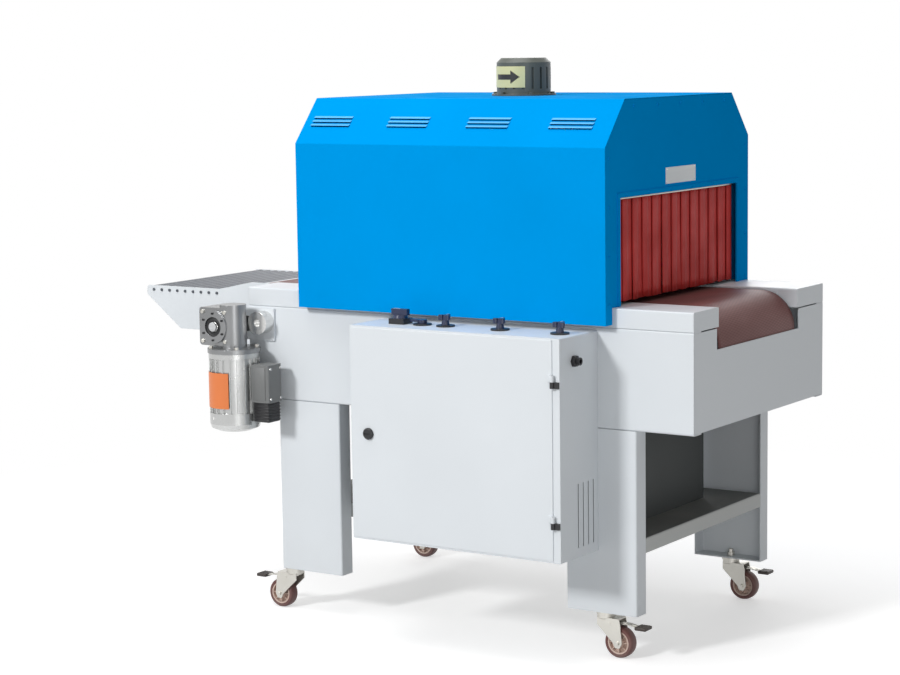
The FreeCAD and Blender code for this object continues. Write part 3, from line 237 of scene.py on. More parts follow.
sprayed = {"Scale": 420.0, "Strength": 0.10}
castIron = {"Scale": 550.0, "Strength": 0.35}
castMetal = {"Scale": 520.0, "Strength": 0.28, "Depth": 0.0003}
moulded = {"Scale": 500.0, "Strength": 0.2}
printed = {"Scale": 900.0, "Strength": 0.05}
finishes = {
    "frameWhite": dict(colour=(0.70, 0.735, 0.765), rough=0.40, spread=0.015, shine=0.3, wear=0.25,
                       wearColour=(0.5, 0.5, 0.5, 1), skin=sprayed),
    # The light blue given as the hood's dust colour is painted light on the faces that look up.
    "hoodBlue": dict(colour=(0.0, 0.285, 0.72), rough=0.42, spread=0.03, shine=0.0, wear=0.4,
                     wearColour=(0.03, 0.40, 0.85, 1), splashed=0.0, lying=0.15,
                     dustAndToplightColour=(0.22, 0.52, 0.80, 1.0), skin=sprayed),
    # The louvre slats are a lighter blue than the hood: painted highlight.
    "louvrePaintedHighlight": dict(colour=(0.10, 0.47, 0.86), rough=0.42, spread=0.03, shine=0.2, lying=0.1,
                       dustAndToplightColour=(0.22, 0.52, 0.80, 1.0), skin=sprayed),
    "trayGrey": dict(colour=(0.45, 0.465, 0.455), rough=0.45, spread=0.03, lying=0.1, skin=sprayed),
    # The tray's top is darker than its lip: painted shade under the machine.
    "trayTopPaintedShade": dict(colour=(0.15, 0.16, 0.155), rough=0.6, spread=0.15, lying=0.2,
                    skin={"Scale": 260.0, "Strength": 0.2}),
    # The back part of the cabinet body, inside and out, gets a near-black colour: painted shade under the
    # conveyor.
    "rearPaintedShade": dict(colour=(0.050, 0.056, 0.056), rough=0.6, spread=0.10, shine=0.25, lying=0.1,
                     skin=sprayed),
    "sheetSteel": dict(colour=(0.55, 0.56, 0.57), rough=0.36, metallic=1.0, spread=0.12, grain="lines",
                       skin={"Stretch": (1.0, 18.0, 18.0), "Strength": 0.15}),
    "rollerSteel": dict(colour=(0.095, 0.105, 0.122), rough=0.42, metallic=0.7, spread=0.15, grain="lines",
                        skin={"Stretch": (22.0, 1.0, 22.0), "Strength": 0.15}, edge=0.0006),
    "heaterSteel": dict(colour=(0.16, 0.14, 0.13), rough=0.5, metallic=0.8, spread=0.2,
                        skin={"Scale": 200.0, "Strength": 0.2}),
    "zincPlate": dict(colour=(0.60, 0.585, 0.54), rough=0.34, metallic=0.9, spread=0.10,
                      skin={"Scale": 160.0, "Strength": 0.12}, edge=0.0007, splashed=0.35),
    "boxGrey": dict(colour=(0.17, 0.175, 0.175), rough=0.45, metallic=0.2, spread=0.08, skin=castIron),
    "castGrey": dict(colour=(0.30, 0.31, 0.32), rough=0.5, metallic=0.3, spread=0.08, skin=castIron),
    "castDark": dict(colour=(0.27, 0.275, 0.28), rough=0.28, metallic=0.9, spread=0.14, edge=0.0015,
                     wearColour=(0.75, 0.75, 0.74, 1), skin=castMetal),
    "castAluminium": dict(colour=(0.50, 0.505, 0.50), rough=0.25, metallic=0.9, spread=0.16, edge=0.0015,
                          skin=castMetal),
    "bareBright": dict(colour=(0.72, 0.72, 0.71), rough=0.2, metallic=1.0, spread=0.08, grain="lines",
                       skin={"Stretch": (12.0, 1.0, 12.0), "Strength": 0.12}, edge=0.0008),
    "fanGrey": dict(colour=(0.075, 0.085, 0.072), rough=0.42, spread=0.08, wear=0.3,
                    wearColour=(0.2, 0.21, 0.19, 1), skin={"Scale": 480.0, "Strength": 0.2}),
    "blackPlastic": dict(colour=(0.012, 0.012, 0.014), rough=0.4, spread=0.1, wear=0.3, edge=0.0008,
                         wearColour=(0.05, 0.05, 0.055, 1), skin={"Scale": 900.0, "Strength": 0.25},
                         lying=0.08),
    "controlNavy": dict(colour=(0.010, 0.018, 0.060), rough=0.28, spread=0.1, wear=0.3, edge=0.0012,
                        wearColour=(0.04, 0.06, 0.14, 1), coat=0.2, lying=0.06,
                        skin={"Scale": 900.0, "Strength": 0.1}),
    "controlGear": dict(colour=(0.42, 0.43, 0.44), rough=0.5, skin={"Scale": 700.0, "Strength": 0.1}),
    "treadBrown": dict(colour=(0.105, 0.022, 0.018), rough=0.45, spread=0.1, edge=0.001, wear=0.2,
                       skin=moulded, splashed=0.3),
    "hubCream": dict(colour=(0.62, 0.47, 0.40), rough=0.45, spread=0.05, edge=0.001, splashed=0.15,
                     skin={"Scale": 600.0, "Strength": 0.1}),
    "pedalTip": dict(colour=(0.028, 0.018, 0.015), rough=0.5, spread=0.1, edge=0.001, skin=moulded),
    "labelWhite": dict(colour=(0.72, 0.76, 0.78), rough=0.3, spread=0.04, edge=0.0005, wear=0.2,
                       skin=printed, lying=0.0),
    "labelCream": dict(colour=(0.66, 0.62, 0.32), rough=0.35, spread=0.05, edge=0.0004, wear=0.2,
                       skin=printed, lying=0.0),
    "labelInk": dict(colour=(0.015, 0.015, 0.015), rough=0.35, edge=0.0003, skin=printed, lying=0.0),
    "stickerOrange": dict(colour=(0.72, 0.20, 0.055), rough=0.38, spread=0.06, edge=0.0004, wear=0.3,
                          wearColour=(0.8, 0.45, 0.25, 1), skin={"Scale": 700.0, "Strength": 0.08},
                          lying=0.0),
    "darkGap": dict(colour=(0.02, 0.021, 0.022), rough=0.6, skin={"Scale": 500.0, "Strength": 0.1}),
}
materials = {name: surface(name, **settings) for name, settings in finishes.items()}

stains = {"scale": 9.0, "detail": 6.0, "tone": (0.35, 0.7, 0.0, 0.55), "shade": 0.55, "rough": (0.3, 0.7)}
cloths = {
    "curtainCloth": dict(colour=(0.56, 0.032, 0.028, 1), pitch=0.0024, rough=0.55, spread=0.12,
                         strength=0.3),
    "beltCloth": dict(colour=(0.155, 0.055, 0.050, 1), pitch=0.008, rough=0.5, spread=0.25, strength=0.5),
}


def clothMaterial(name, colour, pitch, rough, spread, strength, roughSpread=0.08, shine=0.3):
    material, tree, bsdf = newMaterial(name)
    place = wire(tree, "UVMap", uv_map="flat").outputs[0]
    cloth = useGroup(tree, "weave", {"Vector": place, "Pitch": pitch, "Strength": strength})
    spots = noise(tree, place, stains["scale"], stains["detail"])
    base = mixColour(tree, cloth["Tone"], shade(colour, 1 - spread), shade(colour, 1 + spread))
    base = mixColour(tree, stretchTo(tree, spots, *stains["tone"]), base, shade(colour, stains["shade"]))
    roughness = stretchTo(tree, spots, *stains["rough"], rough - roughSpread, rough + roughSpread)
    tree.links.new(base, bsdf.inputs["Base Color"])
    tree.links.new(roughness, bsdf.inputs["Roughness"])
    tree.links.new(cloth["Normal"], bsdf.inputs["Normal"])
    bsdf.inputs["Specular IOR Level"].default_value = shine
    return material


materials.update({name: clothMaterial(name, **settings) for name, settings in cloths.items()})
print("materials made:", len(materials))


# CAD nodes keep their shape and get their finish

nodeFinish = {
    "frameWhite": ["skirt_front", "skirt_back", "end_panels", "side_rails", "outfeed_frame", "cabinet_body",
                   "cabinet_door"] + ["leg_" + corner for corner in corners],
    "hoodBlue": ["hood_cover", "hood_end_infeed", "hood_end_outfeed"],
    "trayGrey": ["lower_tray"],
    "sheetSteel": ["belt_bed", "chamber_liner", "drive_drum", "infeed_drum"],
    "rollerSteel": ["outfeed_roller_%d" % (i + 1) for i in range(9)],
    "heaterSteel": ["heater_bank"],
    "zincPlate": ["curtain_bars", "fan_impeller", "caster_heads"]
                 + ["caster_fork_" + corner for corner in corners],
    "castGrey": ["drum_bearings"],
    "castDark": ["gearbox"],
    "castAluminium": ["gear_motor"],
    "bareBright": ["torque_arm"],
    "fanGrey": ["fan_motor"],
    "blackPlastic": ["cabinet_fittings", "cabinet_lock"],
    "controlNavy": ["main_switch", "selector_lever"] + knobs,
    "controlGear": ["electrics"],
}
for finish, nodes in nodeFinish.items():
    for node in nodes:
        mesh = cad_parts[node].data
        mesh.materials.clear()
        mesh.materials.append(materials[finish])


def boxOf(node):
    low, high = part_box(node)
    return Vector(low), Vector(high)


def middleOf(node):
    low, high = boxOf(node)
    return (low + high) / 2


def secondFinish(node, finish, chosen):  # faces for which chosen(centre, normal) holds
    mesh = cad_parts[node].data
    mesh.materials.append(materials[finish])
    for polygon in mesh.polygons:
        if chosen(polygon.center, polygon.normal):
            polygon.material_index = len(mesh.materials) - 1


# Where the second finish of a node begins
parting = {"upward": 0.9, "cabinetRear": -0.2825, "louvreLean": (0.8, 0.97), "louvresBelow": 1.36,
           "bearingRadius": 0.0305, "terminalBox": 0.0590, "mountingPlate": 0.0035, "speedDrive": 0.40}
drumAxes = [middleOf("drive_drum"), middleOf("infeed_drum")]
terminalsFrom = boxOf("gear_motor")[1].x - parting["terminalBox"]
plateFrom = boxOf("electrics")[1].y - parting["mountingPlate"]


def onLouvres(centre, normal):
    low, high = parting["louvreLean"]
    return low < normal.z < high and centre.z < parting["louvresBelow"]


def offTheDrums(centre, normal):  # the brackets round the flange bearings are painted sheet
    return all(math.hypot(centre.x - axis.x, centre.z - axis.z) > parting["bearingRadius"]
               for axis in drumAxes)


def onSpeedDrive(centre, normal):
    return centre.x > parting["speedDrive"] and centre.y < plateFrom


# Upward faces of the tray get the darker colour: painted shade under the machine.
secondFinish("lower_tray", "trayTopPaintedShade", lambda centre, normal: normal.z > parting["upward"])
# Faces behind the cabinet front get the near-black colour: painted shade under the conveyor.
secondFinish("cabinet_body", "rearPaintedShade", lambda centre, normal: centre.y > parting["cabinetRear"])
# Upward-tilted slat faces of the louvres get the lighter blue: painted highlight.
secondFinish("hood_cover", "louvrePaintedHighlight", onLouvres)
secondFinish("drum_bearings", "frameWhite", offTheDrums)
secondFinish("gear_motor", "boxGrey", lambda centre, normal: centre.x > terminalsFrom)
secondFinish("electrics", "sheetSteel", lambda centre, normal: centre.y > plateFrom)
secondFinish("electrics", "fanGrey", onSpeedDrive)
print("nodes dressed")


# Mesh helpers; each adds to an open bmesh

def newest(bm, before):
    bm.verts.ensure_lookup_table()
    return bm.verts[before:]


def edgesOf(verts):
    return list({edge for vert in verts for edge in vert.link_edges})


def facesOf(verts):
    return list({face for vert in verts for face in vert.link_faces})


def bevelEdges(bm, edges, width, segments=2):
    bmesh.ops.bevel(bm, geom=edges, offset=width, offset_type="OFFSET", affect="EDGES", segments=segments,
                    profile=0.5, material=-1)


def addBlock(bm, low, high, rounding=0.0, segments=2):
    before = len(bm.verts)
    size = Vector(high) - Vector(low)
    middle = (Vector(high) + Vector(low)) / 2
    place = Matrix.Translation(middle) @ Matrix.Diagonal((*size, 1))
    made = bmesh.ops.create_cube(bm, size=1.0, matrix=place)
    if rounding:
        bevelEdges(bm, edgesOf(made["verts"]), rounding, segments)
    return newest(bm, before)


def turnedTo(place, axis):
    return Matrix.Translation(place) @ zAxis.rotation_difference(axis).to_matrix().to_4x4()


def ringTurns(count, start):
    return [math.radians(start + 360 / count * i) for i in range(count)]


def mirrored(points):  # the first half of a profile, then its mirror image along the axis
    return points + [(radius, -along) for radius, along in reversed(points)]


def addTurned(bm, profile, centre, axis, steps=40):
    before = len(bm.verts)
    chain = [bm.verts.new((radius, 0, along)) for radius, along in profile]
    links = [bm.edges.new(pair) for pair in zip(chain, chain[1:])]
    bmesh.ops.spin(bm, geom=chain + links, cent=(0, 0, 0), axis=zAxis, dvec=(0, 0, 0), angle=2 * math.pi,
                   steps=steps, use_merge=True, use_duplicate=False)
    bmesh.ops.transform(bm, matrix=turnedTo(centre, axis), verts=newest(bm, before))


hexHead = {"topFrom": 0.9, "chamfer": 0.15}  # shares of the head's height


def addHexBolt(bm, place, normal, across, height):
    radius = across / math.sqrt(3)
    before = len(bm.verts)
    bmesh.ops.create_cone(bm, cap_ends=True, segments=6, radius1=radius, radius2=radius, depth=height,
                          matrix=turnedTo(place + normal * height / 2, normal))
    top = [edge for edge in edgesOf(newest(bm, before))
           if all((vert.co - place).dot(normal) > height * hexHead["topFrom"] for vert in edge.verts)]
    bevelEdges(bm, top, height * hexHead["chamfer"], segments=1)


# Profiles of screw heads with a radius of 1
panHead = [(1.0, 0.0), (1.0, 0.35), (0.8, 0.6), (0.35, 0.7), (0.3, 0.3), (0.0, 0.3)]
socketHead = [(1.0, -0.0625), (1.0, 0.9), (0.9, 1.0), (0.55, 1.0), (0.5, 0.4), (0.0, 0.4)]


def addScrew(bm, place, normal, radius, head=panHead, steps=12):
    addTurned(bm, [(radius * out, radius * along) for out, along in head], place, normal, steps)


def newPiece(bm, name, finish):
    mesh = bpy.data.meshes.new(name)
    bm.to_mesh(mesh)
    bm.free()
    mesh.materials.append(materials[finish])
    mesh.shade_smooth()
    piece = bpy.data.objects.new(name, mesh)
    bpy.context.collection.objects.link(piece)
    return piece


def finishPiece(bm, name, finish, body, crease=38, merge=1e-6):
    bmesh.ops.remove_doubles(bm, verts=bm.verts, dist=merge)
    bmesh.ops.recalc_face_normals(bm, faces=bm.faces)
    piece = newPiece(bm, name, finish)
    piece.data.set_sharp_from_angle(angle=math.radians(crease))
    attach(piece, body)
    return piece


def finishSheet(bm, name, finish, thickness, body, node):
    piece = newPiece(bm, name, finish)
    wall = piece.modifiers.new("thickness", "SOLIDIFY")
    wall.thickness = thickness
    wall.offset = 0.0
    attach(piece, body)
    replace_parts(piece, node)
    return piece


# Casters: tread, ribbed hub and brake pedal, four times

wheel = {"hubRadius": 0.0295, "treadHalf": 0.0145, "lip": 0.001, "shoulder": 0.004,
         "crown": (0.0012, 0.0028), "flat": 0.4, "bore": 0.005, "boss": 0.012, "bossTaper": (0.001, 0.002),
         "bossFoot": (0.0015, 0.004), "webEnd": (0.004, 0.0035), "rimInside": 0.0035, "rimSeat": 0.0004,
         "ribs": 8, "rib": 0.0022, "ribInset": 0.003, "ribRound": 0.0006}


def makeWheel(corner):
    node = "caster_wheel_" + corner
    low, high = boxOf(node)
    centre = middleOf(node)
    radius = (high.z - low.z) / 2
    half, hub, lip = wheel["treadHalf"], wheel["hubRadius"], wheel["lip"]
    crownDrop, crownIn = wheel["crown"]
    bm = bmesh.new()
    addTurned(bm, mirrored([(hub, -half + lip), (hub + lip, -half), (radius - wheel["shoulder"], -half),
                            (radius - crownDrop, -half + crownIn), (radius, -half * wheel["flat"])]),
              centre, yAxis, steps=56)
    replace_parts(finishPiece(bm, "tread_" + corner, "treadBrown", node), node)
    bm = bmesh.new()
    bore, boss = wheel["bore"], wheel["boss"]
    side = (high.y - low.y) / 2
    taperOut, taperIn = wheel["bossTaper"]
    footOut, footHalf = wheel["bossFoot"]
    webOut, webHalf = wheel["webEnd"]
    section = mirrored([(bore, -side), (boss, -side), (boss + taperOut, -side + taperIn),
                        (boss + footOut, -footHalf), (hub - webOut, -webHalf),
                        (hub - wheel["rimInside"], -half + lip), (hub, -half + wheel["rimSeat"])])
    addTurned(bm, section + section[:1], centre, yAxis, steps=48)
    inset = wheel["ribInset"]
    for i in range(wheel["ribs"]):
        turn = Matrix.Translation(centre) @ Matrix.Rotation(2 * math.pi * i / wheel["ribs"], 4, "Y")
        rib = addBlock(bm, (boss, -half + inset, -wheel["rib"] / 2),
                       (hub - inset, half - inset, wheel["rib"] / 2), wheel["ribRound"], segments=1)
        bmesh.ops.transform(bm, matrix=turn, verts=rib)
    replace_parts(finishPiece(bm, "hub_" + corner, "hubCream", node), node)


pedal = {"eye": 0.006, "pin": 0.0032, "half": 0.0105, "plate": 0.0025, "rise": 0.001, "bend": 0.046,
         "drop": 0.0045, "intoTip": 0.006, "overlap": 0.0008, "plateRound": 0.0007,
         "ridgeFrom": 0.010, "ridgeTo": 0.004, "ridgeHalf": 0.003, "ridgeHigh": 0.0015,
         "ridgeRound": 0.0012,
         "tipLength": 0.032, "tipHalf": 0.019, "tipHigh": 0.009, "tipRound": 0.0028,
         "grips": 4, "gripFrom": 0.007, "gripPitch": 0.006, "grip": 0.0011, "gripLength": 0.015,
         "gripHigh": 0.001, "gripRound": 0.0006}


def makePedal(corner):
    node = "caster_brake_" + corner
    low, high = boxOf(node)
    y = (low.y + high.y) / 2
    out = 1 if (low.x + high.x) / 2 > middleOf("caster_fork_" + corner).x else -1
    root, end = (low.x, high.x) if out > 0 else (high.x, low.x)
    tipStart = end - out * pedal["tipLength"]
    eye, half, plate = pedal["eye"], pedal["half"], pedal["plate"]
    pivot = Vector((root + out * eye, y, high.z - eye))
    bm = bmesh.new()
    section = [(pedal["pin"], -half), (eye, -half), (eye, half), (pedal["pin"], half)]
    addTurned(bm, section + section[:1], pivot, yAxis, steps=24)
    points = [Vector((pivot.x, y, pivot.z + pedal["rise"])),
              Vector((pivot.x + out * pedal["bend"], y, pivot.z + pedal["rise"])),
              Vector((tipStart + out * pedal["intoTip"], y, pivot.z - pedal["drop"]))]
    for start, stop in zip(points, points[1:]):
        run = stop - start
        along = run.normalized()
        side = yAxis * out
        turn = Matrix.Translation(start) @ Matrix((along, side, along.cross(side))).transposed().to_4x4()
        strip = addBlock(bm, (0, -half, -plate / 2), (run.length + pedal["overlap"], half, plate / 2),
                         pedal["plateRound"], segments=1)
        bmesh.ops.transform(bm, matrix=turn, verts=strip)
        ridgeTop = plate / 2 + pedal["ridgeHigh"]
        ridge = addBlock(bm, (pedal["ridgeFrom"], -pedal["ridgeHalf"], -plate / 2),
                         (run.length - pedal["ridgeTo"], pedal["ridgeHalf"], ridgeTop),
                         pedal["ridgeRound"])
        bmesh.ops.transform(bm, matrix=turn, verts=ridge)
    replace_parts(finishPiece(bm, "pedal_arm_" + corner, "zincPlate", node), node)
    bm = bmesh.new()
    top = low.z + pedal["tipHigh"]
    addBlock(bm, (min(tipStart, end), y - pedal["tipHalf"], low.z),
             (max(tipStart, end), y + pedal["tipHalf"], top), pedal["tipRound"], segments=3)
    for i in range(pedal["grips"]):
        x = tipStart + out * (pedal["gripFrom"] + i * pedal["gripPitch"])
        addBlock(bm, (x - pedal["grip"], y - pedal["gripLength"], top - pedal["gripHigh"]),
                 (x + pedal["grip"], y + pedal["gripLength"], top + pedal["gripHigh"]),
                 pedal["gripRound"], segments=1)
    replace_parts(finishPiece(bm, "pedal_tip_" + corner, "pedalTip", node), node)


for corner in corners:
    makeWheel(corner)
    makePedal(corner)
print("casters dressed")


# Strip curtains: overlapping strips of coated glass cloth, each with its own slight bow

curtain = {"strips": 24, "overlap": 0.003, "thickness": 0.0010, "bow": 0.0008, "bowFrom": 3,
           "sway": 0.0014, "lift": 0.003, "lean": 0.6, "layer": 0.0013, "across": 4, "down": 12,
           "hem": 0.001, "bead": 0.0026, "beadSunk": 0.0003}


def addStrip(bm, uvLayer, x, yLow, yHigh, zLow, zHigh, bow, sway, lift):
    before = len(bm.verts)
    bmesh.ops.create_grid(bm, x_segments=curtain["across"], y_segments=curtain["down"], size=0.5)
    verts = newest(bm, before)
    for vert in verts:
        u, v = vert.co.x + 0.5, 0.5 - vert.co.y
        free = v * v
        y = yLow + u * (yHigh - yLow)
        z = zHigh - v * (zHigh - zLow - lift * free)
        bulge = bow * (1 - (2 * u - 1) ** 2) * min(1.0, v * curtain["bowFrom"])
        twist = sway * free * (2 * u - 1)
        vert.co = Vector((x + bulge + twist + lift * curtain["lean"] * free, y, z))
    for face in facesOf(verts):
        for loop in face.loops:
            loop[uvLayer].uv = (loop.vert.co.y, loop.vert.co.z)


def makeCurtain(node, side):
    low, high = boxOf(node)
    x = (low.x + high.x) / 2
    bottom, top = low.z + curtain["hem"], high.z - curtain["hem"]
    bm = bmesh.new()
    uvLayer = bm.loops.layers.uv.new("flat")
    pitch = (high.y - low.y - curtain["overlap"]) / curtain["strips"]
    width = pitch + curtain["overlap"]
    for i in range(curtain["strips"]):
        yLow = low.y + i * pitch
        layer = curtain["layer"] * (1 if i % 2 else -1)
        bow = random.uniform(-1, 1) * curtain["bow"]
        sway = random.uniform(-1, 1) * curtain["sway"]
        lift = random.uniform(0, curtain["lift"])
        addStrip(bm, uvLayer, x + side * layer, yLow, yLow + width, bottom, top, bow, sway, lift)
    piece = finishSheet(bm, node + "_strips", "curtainCloth", curtain["thickness"], node,
                        node)
    bm = bmesh.new()
    bead = curtain["bead"]
    addTurned(bm, [(0, low.y), (bead, low.y), (bead, high.y), (0, high.y)],
              Vector((x, 0, high.z - bead - curtain["beadSunk"])), yAxis, steps=16)
    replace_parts(finishPiece(bm, node + "_bead", "zincPlate", node), node)


makeCurtain("curtain_infeed", 1)
makeCurtain("curtain_outfeed", -1)
print("curtains hung")


# Belt: coated glass mesh in one closed loop with welded edge strips

belt = {"solid": 0.0026, "thickness": 0.0022, "steps": 280, "rows": 3, "edgeFrom": 0.45,
        "edgeWidth": 0.016, "merge": 1e-5}


def beltPoint(along, run, radius, left, right):  # top run and infeed drum, then the way back
    lap = run + math.pi * radius
    side = 1 if along < lap else -1
    start, end = (left, right) if side > 0 else (right, left)
    rest = along if side > 0 else along - lap
    if rest < run:
        return start + side * rest, side * radius
    turn = (rest - run) / radius
    return end + side * radius * math.sin(turn), side * radius * math.cos(turn)


def makeBelt():
    low, high = boxOf("conveyor_belt")
    centre = middleOf("conveyor_belt")
    arc = (high.z - low.z) / 2
    left, right = low.x + arc, high.x - arc
    radius = arc - belt["solid"] + belt["thickness"] / 2
    run = right - left
    length = 2 * run + 2 * math.pi * radius
    width = high.y - low.y
    bm = bmesh.new()
    uvLayer = bm.loops.layers.uv.new("flat")
    bmesh.ops.create_grid(bm, x_segments=belt["steps"], y_segments=belt["rows"], size=0.5)
    for face in bm.faces:
        for loop in face.loops:
            loop[uvLayer].uv = ((loop.vert.co.x + 0.5) * length, loop.vert.co.y * width)
    for vert in bm.verts:
        inset = 0 if abs(vert.co.y) > belt["edgeFrom"] else belt["edgeWidth"]
        y = math.copysign(width / 2 - inset, vert.co.y)
        x, z = beltPoint((vert.co.x + 0.5) * length, run, radius, left, right)
        vert.co = Vector((x, y + centre.y, centre.z + z))
    bmesh.ops.remove_doubles(bm, verts=bm.verts, dist=belt["merge"])
    bmesh.ops.recalc_face_normals(bm, faces=bm.faces)
    piece = finishSheet(bm, "belt_loop", "beltCloth", belt["thickness"], "frame", "conveyor_belt")
    return centre.z + radius + belt["thickness"] / 2


print("belt laid, top at", round(makeBelt(), 4))


# Labels: bare plates only

plate = {"wide": 0.166, "high": 0.042, "bottom": 1.180, "thick": 0.0012, "edge": 0.0004, "wallFrom": 0.003,
         "lines": 3, "firstLine": 0.010, "linePitch": 0.0085, "line": 0.004, "lineInset": 0.012,
         "lineSunk": 0.0001, "lineProud": 0.0002, "rivet": 0.0022, "rivetInset": 0.005}


def makePlate():
    wall = boxOf("hood_end_infeed")[1].x - plate["wallFrom"]
    face = wall + plate["thick"]
    y = middleOf("hood_end_infeed").y
    z = plate["bottom"]
    half = plate["wide"] / 2
    bm = bmesh.new()
    addBlock(bm, (wall, y - half, z), (face, y + half, z + plate["high"]), plate["edge"])
    reach = half - plate["lineInset"]
    for row in range(plate["lines"]):
        line = z + plate["firstLine"] + row * plate["linePitch"]
        addBlock(bm, (face - plate["lineSunk"], y - reach, line),
                 (face + plate["lineProud"], y + reach, line + plate["line"]))
    finishPiece(bm, "wall_plate", "labelWhite", "frame")
    bm = bmesh.new()
    inset = plate["rivetInset"]
    for sy in (-1, 1):
        for dz in (inset, plate["high"] - inset):
            addScrew(bm, Vector((face, y + sy * (half - inset), z + dz)), xAxis, plate["rivet"])
    finishPiece(bm, "wall_plate_rivets", "bareBright", "frame")


def curvedPatch(bm, centre, radius, fromTurn, toTurn, zLow, zHigh, thickness, steps):
    before = len(bm.verts)
    rim = Vector((radius * math.cos(fromTurn), radius * math.sin(fromTurn), -centre.z))
    start = [bm.verts.new(centre + rim + zAxis * z) for z in (zLow, zHigh)]
    edge = bm.edges.new(start)
    bmesh.ops.spin(bm, geom=start + [edge], cent=centre, axis=zAxis, dvec=(0, 0, 0),
                   angle=toTurn - fromTurn, steps=steps, use_merge=False, use_duplicate=False)
    bmesh.ops.solidify(bm, geom=facesOf(newest(bm, before)), thickness=thickness)


# Turns of the arrow are shares of the label's half width
fanLabel = {"radius": 0.0733, "turn": 260.0, "half": 44.0, "low": 0.022, "high": 0.078, "thick": 0.0005,
            "ink": 0.0004, "arrowHeight": 0.050, "shaftHalf": 0.007, "shaft": (-0.62, 0.30),
            "head": (0.74, 0.28), "headHalf": 0.018, "headSteps": 8}


def makeFanLabel():
    base = boxOf("fan_motor")[0].z
    centre = middleOf("fan_motor")
    toward, half = math.radians(fanLabel["turn"]), math.radians(fanLabel["half"])
    bm = bmesh.new()
    curvedPatch(bm, centre, fanLabel["radius"], toward - half, toward + half, base + fanLabel["low"],
                base + fanLabel["high"], fanLabel["thick"], steps=24)
    finishPiece(bm, "fan_label", "labelCream", "frame", crease=60)
    bm = bmesh.new()
    ink = fanLabel["ink"]
    radius = fanLabel["radius"] + ink
    z = base + fanLabel["arrowHeight"]
    shaftStart, shaftEnd = (toward + half * share for share in fanLabel["shaft"])
    curvedPatch(bm, centre, radius, shaftStart, shaftEnd, z - fanLabel["shaftHalf"],
                z + fanLabel["shaftHalf"], ink, steps=10)
    tip, root = (toward + half * share for share in fanLabel["head"])
    steps = fanLabel["headSteps"]
    for i in range(steps):  # the head widens step by step from its tip
        near, far = (tip + (root - tip) * k / steps for k in (i, i + 1))
        reach = fanLabel["headHalf"] * (i + 0.5) / steps
        curvedPatch(bm, centre, radius, far, near, z - reach, z + reach, ink, steps=1)
    finishPiece(bm, "fan_arrow", "labelInk", "frame", crease=60)


motor = {"radius": 0.0695, "boxSide": 0.012, "boxDeep": 0.0585, "cowlScrews": (3, 250),
         "cowlHeight": 0.036, "cowlRadius": 0.0694, "cowlScrew": 0.0036, "boxScrewHeights": (0.092, 0.174),
         "boxScrewHalf": 0.021, "boxScrewSunk": 0.0001, "boxScrew": 0.0034,
         "stickerTurns": (212, 294), "stickerHeights": (0.572, 0.669), "stickerRadius": 0.0700,
         "sticker": 0.0006}


def motorAxis():
    low = boxOf("gear_motor")[0]
    return low.x + motor["radius"], low.y + motor["radius"], low.z


def makeMotorSticker():
    x, y, _ = motorAxis()
    turns = [math.radians(turn) for turn in motor["stickerTurns"]]
    bm = bmesh.new()
    curvedPatch(bm, Vector((x, y, 0)), motor["stickerRadius"], *turns, *motor["stickerHeights"],
                motor["sticker"], steps=24)
    finishPiece(bm, "motor_sticker", "stickerOrange", "frame", crease=60)


makePlate()
makeFanLabel()
makeMotorSticker()
print("labels placed")


# Small fasteners and trim on the drive

drive = {"middle": (-0.4885, 0.790), "front": 0.040, "casing": 0.006, "case": (0.038, 0.040),
         "caseBolt": (0.010, 0.005), "flange": (4, 45), "flangeRing": 0.0625, "flangeTop": 0.732,
         "flangeBolt": (0.011, 0.0065), "cover": (6, 30), "coverRing": 0.0365, "coverScrew": 0.0032,
         "sealDepth": 0.0115, "seal": (0.0150, 0.0265), "sealBack": 0.004, "sealLip": (0.002, 0.0055),
         "sealRim": (0.004, 0.0065), "shaft": 0.0118, "cap": 0.002, "capHigh": 0.008, "capEdge": 0.001,
         "dimple": (0.004, 0.003), "dimpleFloor": 0.005}


def makeGearTrim():
    axisX, y, _ = motorAxis()
    x, z = drive["middle"]
    front = y - drive["front"]
    bolts = bmesh.new()
    for sx in (-1, 1):
        for sz in (-1, 1):
            place = Vector((x + sx * drive["case"][0], front + drive["casing"], z + sz * drive["case"][1]))
            addHexBolt(bolts, place, -yAxis, *drive["caseBolt"])
    ring = drive["flangeRing"]
    for turn in ringTurns(*drive["flange"]):
        place = Vector((axisX + ring * math.cos(turn), y + ring * math.sin(turn), drive["flangeTop"]))
        addHexBolt(bolts, place, zAxis, *drive["flangeBolt"])
    finishPiece(bolts, "drive_bolts", "zincPlate", "frame")
    screws = bmesh.new()
    for turn in ringTurns(*drive["cover"]):
        around = Vector((math.cos(turn), 0, math.sin(turn))) * drive["coverRing"]
        addScrew(screws, Vector((x, front, z)) + around, -yAxis, drive["coverScrew"], socketHead, steps=16)
    finishPiece(screws, "cover_screws", "blackPlastic", "frame")
    floor = Vector((x, front + drive["sealDepth"], z))
    inner, outer = drive["seal"]
    lipOut, lipHigh = drive["sealLip"]
    rimIn, rimHigh = drive["sealRim"]
    back = drive["sealBack"]
    seal = bmesh.new()
    addTurned(seal, [(inner, 0.0), (inner, back), (inner + lipOut, lipHigh), (outer - rimIn, back),
                     (outer, rimHigh), (outer, 0.0)], floor, -yAxis)
    finishPiece(seal, "shaft_seal", "darkGap", "frame")
    radius = drive["shaft"] + drive["cap"]
    high, edge = drive["capHigh"], drive["capEdge"]
    mouth, pit = drive["dimple"]
    end = bmesh.new()
    addTurned(end, [(radius, 0.0), (radius, high - edge), (radius - edge, high), (mouth, high),
                    (pit, drive["dimpleFloor"]), (0.0, drive["dimpleFloor"])], floor, -yAxis, steps=32)
    finishPiece(end, "shaft_cap", "bareBright", "frame")


